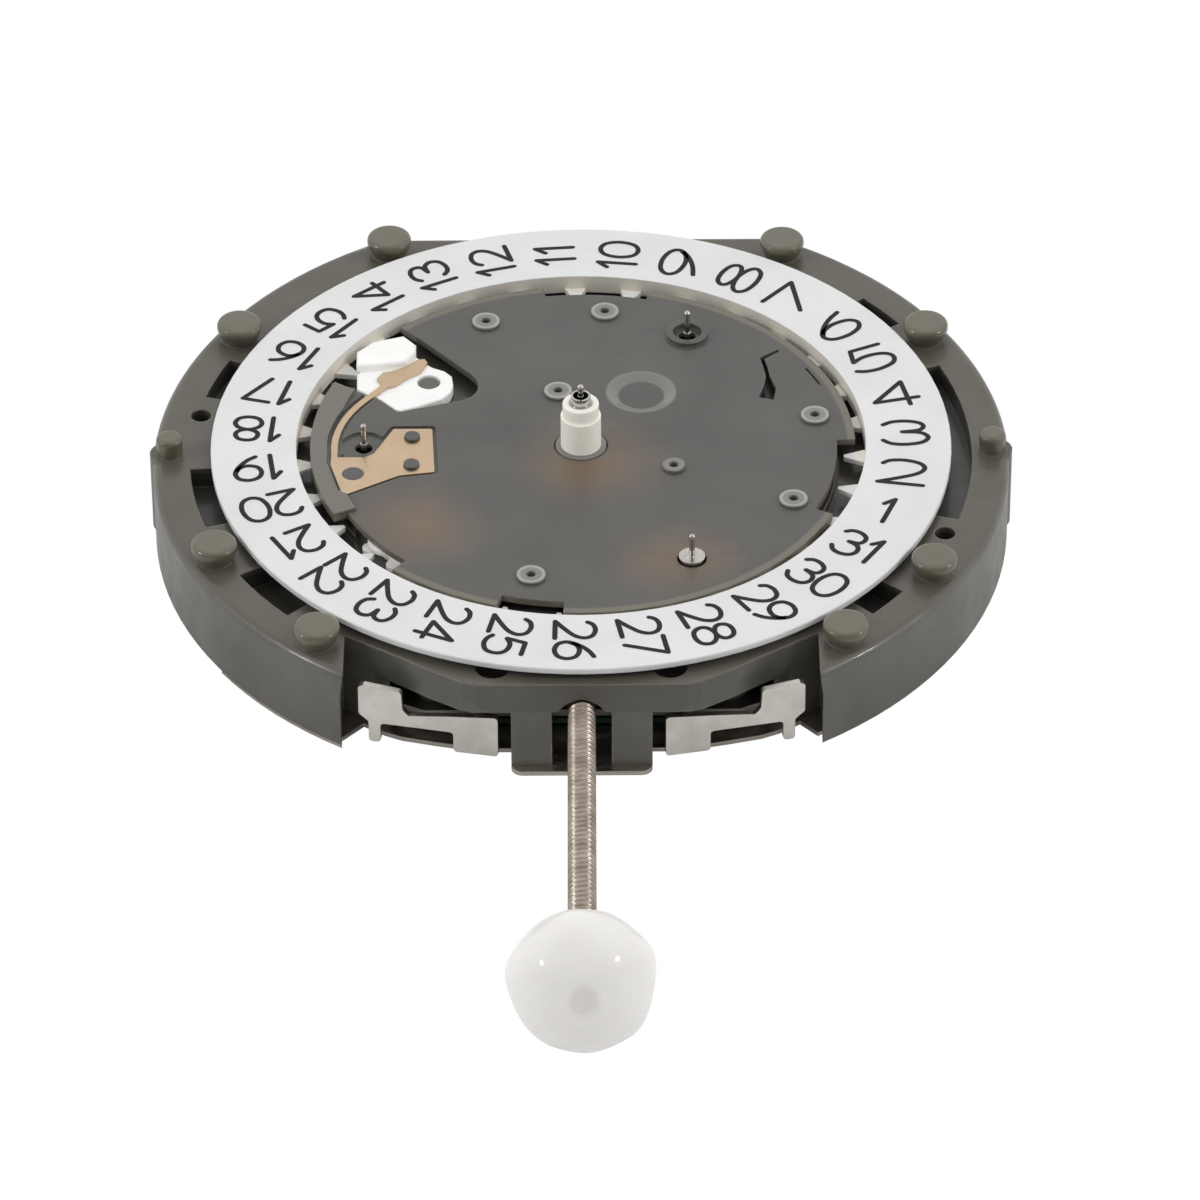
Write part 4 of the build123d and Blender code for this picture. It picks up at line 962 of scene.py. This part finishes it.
@dataclass
class DateNumbers(Piece):
    """Numbers printed round the date ring, in millimetres and degrees.

    Args:
        circle: radius through the middles of the numbers.
        days: how many numbers there are.
        marked_day: the number whose angle is given.
        marked_angle: angle of that number from the X axis.
        height: size of a numeral along the ring.
        single_width: width of a numeral that stands alone.
        pair_width: width of a numeral in a pair.
        one_width: width of a 1.
        pair_gap: room between the two of a pair.
        pen: width of the strokes.
        top: height of the print, just over the ring.
    """

    circle: float = 10.46
    days: int = 31
    marked_day: int = 3
    marked_angle: float = 1.8
    height: float = 1.26
    single_width: float = 1.46
    pair_width: float = 0.86
    one_width: float = 0.50
    pair_gap: float = 0.16
    pen: float = 0.165
    top: float = 3.404

    def fill(self, mesh: bmesh.types.BMesh) -> None:
        """Print each number outward along its own radius.

        Args:
            mesh: mesh that gets the strokes.
        """
        ribbon = Ribbon(mesh, self.pen, self.top)
        for day in range(1, self.days + 1):
            angle = radians(self.marked_angle + (day - self.marked_day) * 360.0 / self.days)
            text = str(day)
            widths = [self.digit_width(sign, len(text)) for sign in text]
            start = -(sum(widths) + self.pair_gap * (len(text) - 1)) / 2
            for sign, width in zip(text, widths):
                ribbon.restart()
                for stroke in NUMERALS[sign]:
                    ribbon.line([self.on_ring(x + start, y - self.height / 2, angle)
                                 for x, y in stroke.line(width, self.height)])
                start += width + self.pair_gap

    def orient(self, mesh: bmesh.types.BMesh) -> None:
        """Turn the faces of the flat print upwards."""
        mesh.normal_update()
        bmesh.ops.reverse_faces(mesh, faces=[face for face in mesh.faces if face.normal.z < 0.0])

    def digit_width(self, sign: str, length: int) -> float:
        """Choose the width of one numeral.

        Args:
            sign: the numeral.
            length: how many numerals the number has.

        Returns:
            The width in millimetres.
        """
        if sign == "1":
            return self.one_width
        return self.single_width if length == 1 else self.pair_width

    def on_ring(self, outward: float, along: float, angle: float) -> Point:
        """Find a place on the ring.

        Args:
            outward: distance beyond the circle of numbers, in millimetres.
            along: distance in the turning direction, in millimetres.
            angle: angle of the number, in radians.

        Returns:
            The place in plan, in millimetres.
        """
        radius = self.circle + outward
        return radius * cos(angle) - along * sin(angle), radius * sin(angle) + along * cos(angle)


@dataclass
class ThreadedStem(Piece):
    """Stem with its square inner end, groove and fine thread, in millimetres.

    Args:
        height: height of the stem's axis.
        pitch: distance from one turn of the thread to the next.
        crest: radius over the thread.
        root: radius in the thread's groove.
        thread_start: distance of the thread's inner end from the hand axis.
        thread_end: distance of its outer end.
        run_out_share: length of the taper at the outer end, as a share of the pitch.
        crest_power: power that shapes the thread's flanks, lower for fuller ones.
        crest_cut: how much of the crest is cut flat, from 1 for none.
        sides: points round the stem.
        steps_per_pitch: rings of points along one pitch.
        inner: distance and radius of each ring of the plain end, with a negative radius for a square.
    """

    height: float = 1.95
    pitch: float = 0.22
    crest: float = 0.440
    root: float = 0.355
    thread_start: float = 11.40
    thread_end: float = 23.60
    run_out_share: float = 0.25
    crest_power: float = 0.8
    crest_cut: float = 1.1
    sides: int = 36
    steps_per_pitch: int = 6
    inner: tuple[Point, ...] = (
        (6.62, -0.249), (8.34, -0.249), (8.36, 0.445), (8.87, 0.445), (8.89, 0.238), (9.31, 0.238),
        (9.33, 0.445), (11.30, 0.445),
    )

    def fill(self, mesh: bmesh.types.BMesh) -> None:
        """Lay rings of points along the stem and join them.

        Args:
            mesh: mesh that gets the stem.
        """
        rings = [self.ring(mesh, y, radius, None) for y, radius in self.inner]
        count = round((self.thread_end - self.thread_start) / self.pitch * self.steps_per_pitch)
        for step in range(count + 1):
            y = self.thread_start + (self.thread_end - self.thread_start) * step / count
            rings.append(self.ring(mesh, y, self.crest, y / self.pitch))
        rings.append(self.ring(mesh, self.thread_end + self.pitch * self.run_out_share, self.root, None))
        for first, second in zip(rings, rings[1:]):
            for k in range(self.sides):
                n = (k + 1) % self.sides
                mesh.faces.new((first[k], first[n], second[n], second[k]))
        mesh.faces.new(rings[0])
        mesh.faces.new(rings[-1])

    def ring(
        self, mesh: bmesh.types.BMesh, y: float, radius: float, turns: float | None
    ) -> list[bmesh.types.BMVert]:
        """Add one ring of points.

        Args:
            mesh: mesh that gets the points.
            y: distance from the hand axis, in millimetres.
            radius: radius in millimetres, negative for a square.
            turns: how many turns the thread has made here, or none for a plain ring.

        Returns:
            The points in order.
        """
        ring = []
        for k in range(self.sides):
            angle = tau * k / self.sides
            reach = radius
            if radius < 0:
                reach = -radius / max(abs(cos(angle)), abs(sin(angle)))
            if turns is not None:
                phase = (turns - k / self.sides) % 1.0
                reach = self.root + (radius - self.root) * self.profile(phase)
            x, z = reach * cos(angle), self.height + reach * sin(angle)
            ring.append(mesh.verts.new((x * MM, -y * MM, z * MM)))
        return ring

    def profile(self, phase: float) -> float:
        """Height of the thread across one pitch, from 0 in the groove to 1 on the crest."""
        wave = 0.5 - 0.5 * cos(tau * phase)
        return min(1.0, wave**self.crest_power * self.crest_cut)


@dataclass
class SettingKnob(Piece):
    """Soft moulded knob with rounded sides and a dimple in front, in millimetres and degrees.

    Args:
        height: height of the knob's middle.
        middle: distance of its middle from the hand axis.
        side_reach: distance from the middle to a side.
        side_count: number of sides.
        front_reach: distance from the middle to the front.
        back_reach: distance from the middle to the back.
        shoulder_reach: distance from the middle to a shoulder.
        shoulder_tilt: how far a shoulder leans from the sides.
        softness: how tight the rounded edges are.
        dimple_radius: radius of the dimple.
        dimple_depth: depth of the dimple.
        dimple_start: where the dimple's slope starts, as a share of its radius.
        dimple_edge: width of that slope, as a share of the radius.
        dimple_rise: how far the dimple's middle lies over the knob's.
        tilt: lean of the knob's front, up or down.
        turn: turn of the knob about the stem.
        detail: how often the ball is subdivided.
    """

    height: float = 1.95
    middle: float = 25.05
    side_reach: float = 2.15
    side_count: int = 5
    front_reach: float = 1.90
    back_reach: float = 2.10
    shoulder_reach: float = 2.06
    shoulder_tilt: float = 42.0
    softness: float = 9.0
    dimple_radius: float = 0.66
    dimple_depth: float = 0.27
    dimple_start: float = 1.15
    dimple_edge: float = 0.70
    dimple_rise: float = 0.30
    tilt: float = 9.0
    turn: float = 10.0
    detail: int = 6

    def planes(self) -> list[tuple[Vector, float]]:
        """List the flat faces that the rounded body keeps to.

        Returns:
            Direction and reach of each face.
        """
        tilt = radians(self.shoulder_tilt)
        faces = [(Vector((0, -1, 0)), self.front_reach), (Vector((0, 1, 0)), self.back_reach)]
        for k in range(self.side_count):
            turn = tau * k / self.side_count
            side = Vector((cos(turn), 0, sin(turn)))
            faces.append((side, self.side_reach))
            half_turn = turn + pi / self.side_count
            between = Vector((cos(half_turn), 0, sin(half_turn)))
            for way in (-1, 1):
                faces.append(((between * cos(tilt) + Vector((0, way * sin(tilt), 0))), self.shoulder_reach))
        return faces

    def fill(self, mesh: bmesh.types.BMesh) -> None:
        """Push the points of a fine ball out to the rounded body.

        Args:
            mesh: mesh that gets the knob.
        """
        bmesh.ops.create_icosphere(mesh, subdivisions=self.detail, radius=1.0)
        faces = self.planes()
        lean = Matrix.Rotation(-radians(self.tilt), 3, "X") @ Matrix.Rotation(radians(self.turn), 3, "Y")
        for vertex in mesh.verts:
            way = vertex.co.normalized()
            total = sum(max(0.0, way.dot(normal) / reach) ** self.softness for normal, reach in faces)
            spot = way * total ** (-1.0 / self.softness)
            off = hypot(spot.x, spot.z - self.dimple_rise) / self.dimple_radius
            if spot.y < 0:
                sunk = min(1.0, max(0.0, (self.dimple_start - off) / self.dimple_edge))
                spot.y += self.dimple_depth * sunk * sunk * (3.0 - 2.0 * sunk)
            spot = lean @ spot
            vertex.co = Vector((spot.x, spot.y - self.middle, spot.z + self.height)) * MM


@dataclass
class Lamp:
    """One small rectangular light aimed at the object.

    Args:
        name: object name.
        place: position in metres.
        size: width and height in metres.
        watts: power.
        colour: light colour.
    """

    name: str
    place: tuple[float, float, float]
    size: tuple[float, float]
    watts: float
    colour: Colour = (1.0, 1.0, 1.0)

    def hang(self, target: Vector) -> None:
        """Add the light and turn it to a target.

        Args:
            target: place in metres that it shines at.
        """
        data = bpy.data.lights.new(self.name, "AREA")
        data.shape = "RECTANGLE"
        data.size, data.size_y = self.size
        data.energy = self.watts
        data.color = self.colour
        lamp = bpy.data.objects.new(self.name, data)
        lamp.location = self.place
        lamp.rotation_euler = (target - Vector(self.place)).to_track_quat("-Z", "Y").to_euler()
        bpy.context.scene.collection.objects.link(lamp)


@dataclass
class Studio:
    """Pale room, soft lights and the camera of the photograph.

    Args:
        floor_z: height of the floor in millimetres.
        floor_half: half the floor's width in millimetres.
        floor_grey: brightness of the floor to all but the camera.
        floor_roughness: roughness of the floor.
        lens: focal length in millimetres.
        sensor: width of the sensor in millimetres.
        clip: nearest and farthest distance that the camera sees, in metres.
        aim: place that the camera looks at, in millimetres.
        distance: distance from there to the camera in millimetres.
        elevation: angle of the camera over the floor in degrees.
        roll: turn of the picture in degrees.
        rise_span: upward share of a direction over which the tent's brightness changes.
        tent_rise: the tent's brightness at the two ends of that span.
        depth_span: backward share of a direction over which it changes too.
        tent_depth: its brightness at the two ends of that span.
        lamp_place: position of the right lamp in metres, mirrored for the left one.
        lamp_size: width and height of a lamp in metres.
        lamp_watts: power of a lamp.
    """

    floor_z: float = -0.45
    floor_half: float = 400.0
    floor_grey: float = 0.80
    floor_roughness: float = 0.9
    lens: float = 224.9
    sensor: float = 36.0
    clip: Point = (0.01, 10.0)
    aim: tuple[float, float, float] = (0.586, -8.42, 3.40)
    distance: float = 234.889
    elevation: float = 37.63
    roll: float = -0.31
    rise_span: Point = (0.0, 0.9)
    tent_rise: Point = (0.78, 0.98)
    depth_span: Point = (-0.9, 0.1)
    tent_depth: Point = (0.30, 1.0)
    lamp_place: tuple[float, float, float] = (0.26, -0.064, 0.158)
    lamp_size: Point = (0.030, 0.022)
    lamp_watts: float = 0.15

    def build(self) -> None:
        """Set up world, floor, lights and camera."""
        self.world()
        self.floor()
        away, front, up = self.lamp_place
        for name, side in (("left_lamp", -away), ("right_lamp", away)):
            Lamp(name, (side, front, up), self.lamp_size, self.lamp_watts).hang(Vector(self.aim) * MM)
        self.camera()
        bpy.context.scene.view_settings.view_transform = "Standard"

    def world(self) -> None:
        """White to the camera; a light tent for everything else, brighter overhead and dimmer in front."""
        world = bpy.data.worlds.new("light_tent")
        bpy.context.scene.world = world
        world.use_nodes = True
        tree = world.node_tree
        nodes, links = tree.nodes, tree.links
        split = nodes.new("ShaderNodeSeparateXYZ")
        links.new(nodes.new("ShaderNodeTexCoord").outputs["Generated"], split.inputs["Vector"])
        rise = map_range(tree, split.outputs["Z"], self.rise_span, self.tent_rise, smooth=True)
        depth = map_range(tree, split.outputs["Y"], self.depth_span, self.tent_depth, smooth=True)
        strength = nodes.new("ShaderNodeMath")
        strength.operation = "MULTIPLY"
        links.new(rise, strength.inputs[0])
        links.new(depth, strength.inputs[1])
        lit, seen = nodes["Background"], nodes.new("ShaderNodeBackground")
        for background in (lit, seen):
            background.inputs["Color"].default_value = (1.0, 1.0, 1.0, 1.0)
        links.new(strength.outputs["Value"], lit.inputs["Strength"])
        surface = nodes["World Output"].inputs["Surface"]
        show_to_camera(tree, lit.outputs["Background"], seen.outputs["Background"], surface)

    def floor(self) -> None:
        """Pale floor, plain white to the camera."""
        mesh = bmesh.new()
        half, z = self.floor_half * MM, self.floor_z * MM
        signs = ((-1, -1), (1, -1), (1, 1), (-1, 1))
        mesh.faces.new([mesh.verts.new((x * half, y * half, z)) for x, y in signs])
        data = bpy.data.meshes.new("studio_floor")
        mesh.to_mesh(data)
        mesh.free()
        floor = bpy.data.objects.new("studio_floor", data)
        bpy.context.scene.collection.objects.link(floor)
        material = bpy.data.materials.new("floor_look")
        material.use_nodes = True
        nodes = material.node_tree.nodes
        shader, white = nodes["Principled BSDF"], nodes.new("ShaderNodeEmission")
        shader.inputs["Base Color"].default_value = (self.floor_grey, self.floor_grey, self.floor_grey, 1.0)
        shader.inputs["Roughness"].default_value = self.floor_roughness
        surface = nodes["Material Output"].inputs["Surface"]
        show_to_camera(material.node_tree, shader.outputs["BSDF"], white.outputs["Emission"], surface)
        data.materials.append(material)

    def camera(self) -> None:
        """Camera at the photograph's place and angle."""
        data = bpy.data.cameras.new("photo_camera")
        data.sensor_width = self.sensor
        data.sensor_fit = "HORIZONTAL"
        data.lens = self.lens
        data.clip_start, data.clip_end = self.clip
        camera = bpy.data.objects.new("photo_camera", data)
        lift = radians(self.elevation)
        back = Vector((0.0, -cos(lift), sin(lift)))
        place = (Vector(self.aim) + back * self.distance) * MM
        turn = back.to_track_quat("Z", "Y").to_matrix() @ Matrix.Rotation(radians(self.roll), 3, "Z")
        camera.matrix_world = Matrix.Translation(place) @ turn.to_4x4()
        bpy.context.scene.collection.objects.link(camera)
        bpy.context.scene.camera = camera


def dress_nodes(frame: dict, looks: Looks) -> None:
    """Give each CAD node that stays visible its finish.

    Args:
        frame: the loaded CAD frame.
        looks: materials of the scene.
    """
    for name, node in frame["nodes"].items():
        finish = NODE_FINISH.get(name)
        if finish is None:
            continue
        for slot in node.material_slots:
            slot.material = looks.get(finish)


def visual_pieces() -> Iterable[Piece]:
    """Name the pieces that Blender adds to the CAD nodes.

    Returns:
        Each piece in turn.
    """
    yield DateNumbers("date_numbers", "date_ring", INK, "white_plastic", smooth=False)
    yield ThreadedStem("threaded_stem", "stem", STEM_STEEL, "steel", ("stem", "stem_tail"))
    yield SettingKnob("setting_knob", "stem", KNOB_WHITE, "knob_plastic", ("knob",))


def main() -> None:
    """Dress the frame, add the pieces and set up the studio."""
    logging.basicConfig(level=logging.INFO)
    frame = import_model()
    looks = Looks()
    dress_nodes(frame, looks)
    for piece in visual_pieces():
        piece.place(looks)
    Studio().build()


if __name__ == "__main__":
    main()
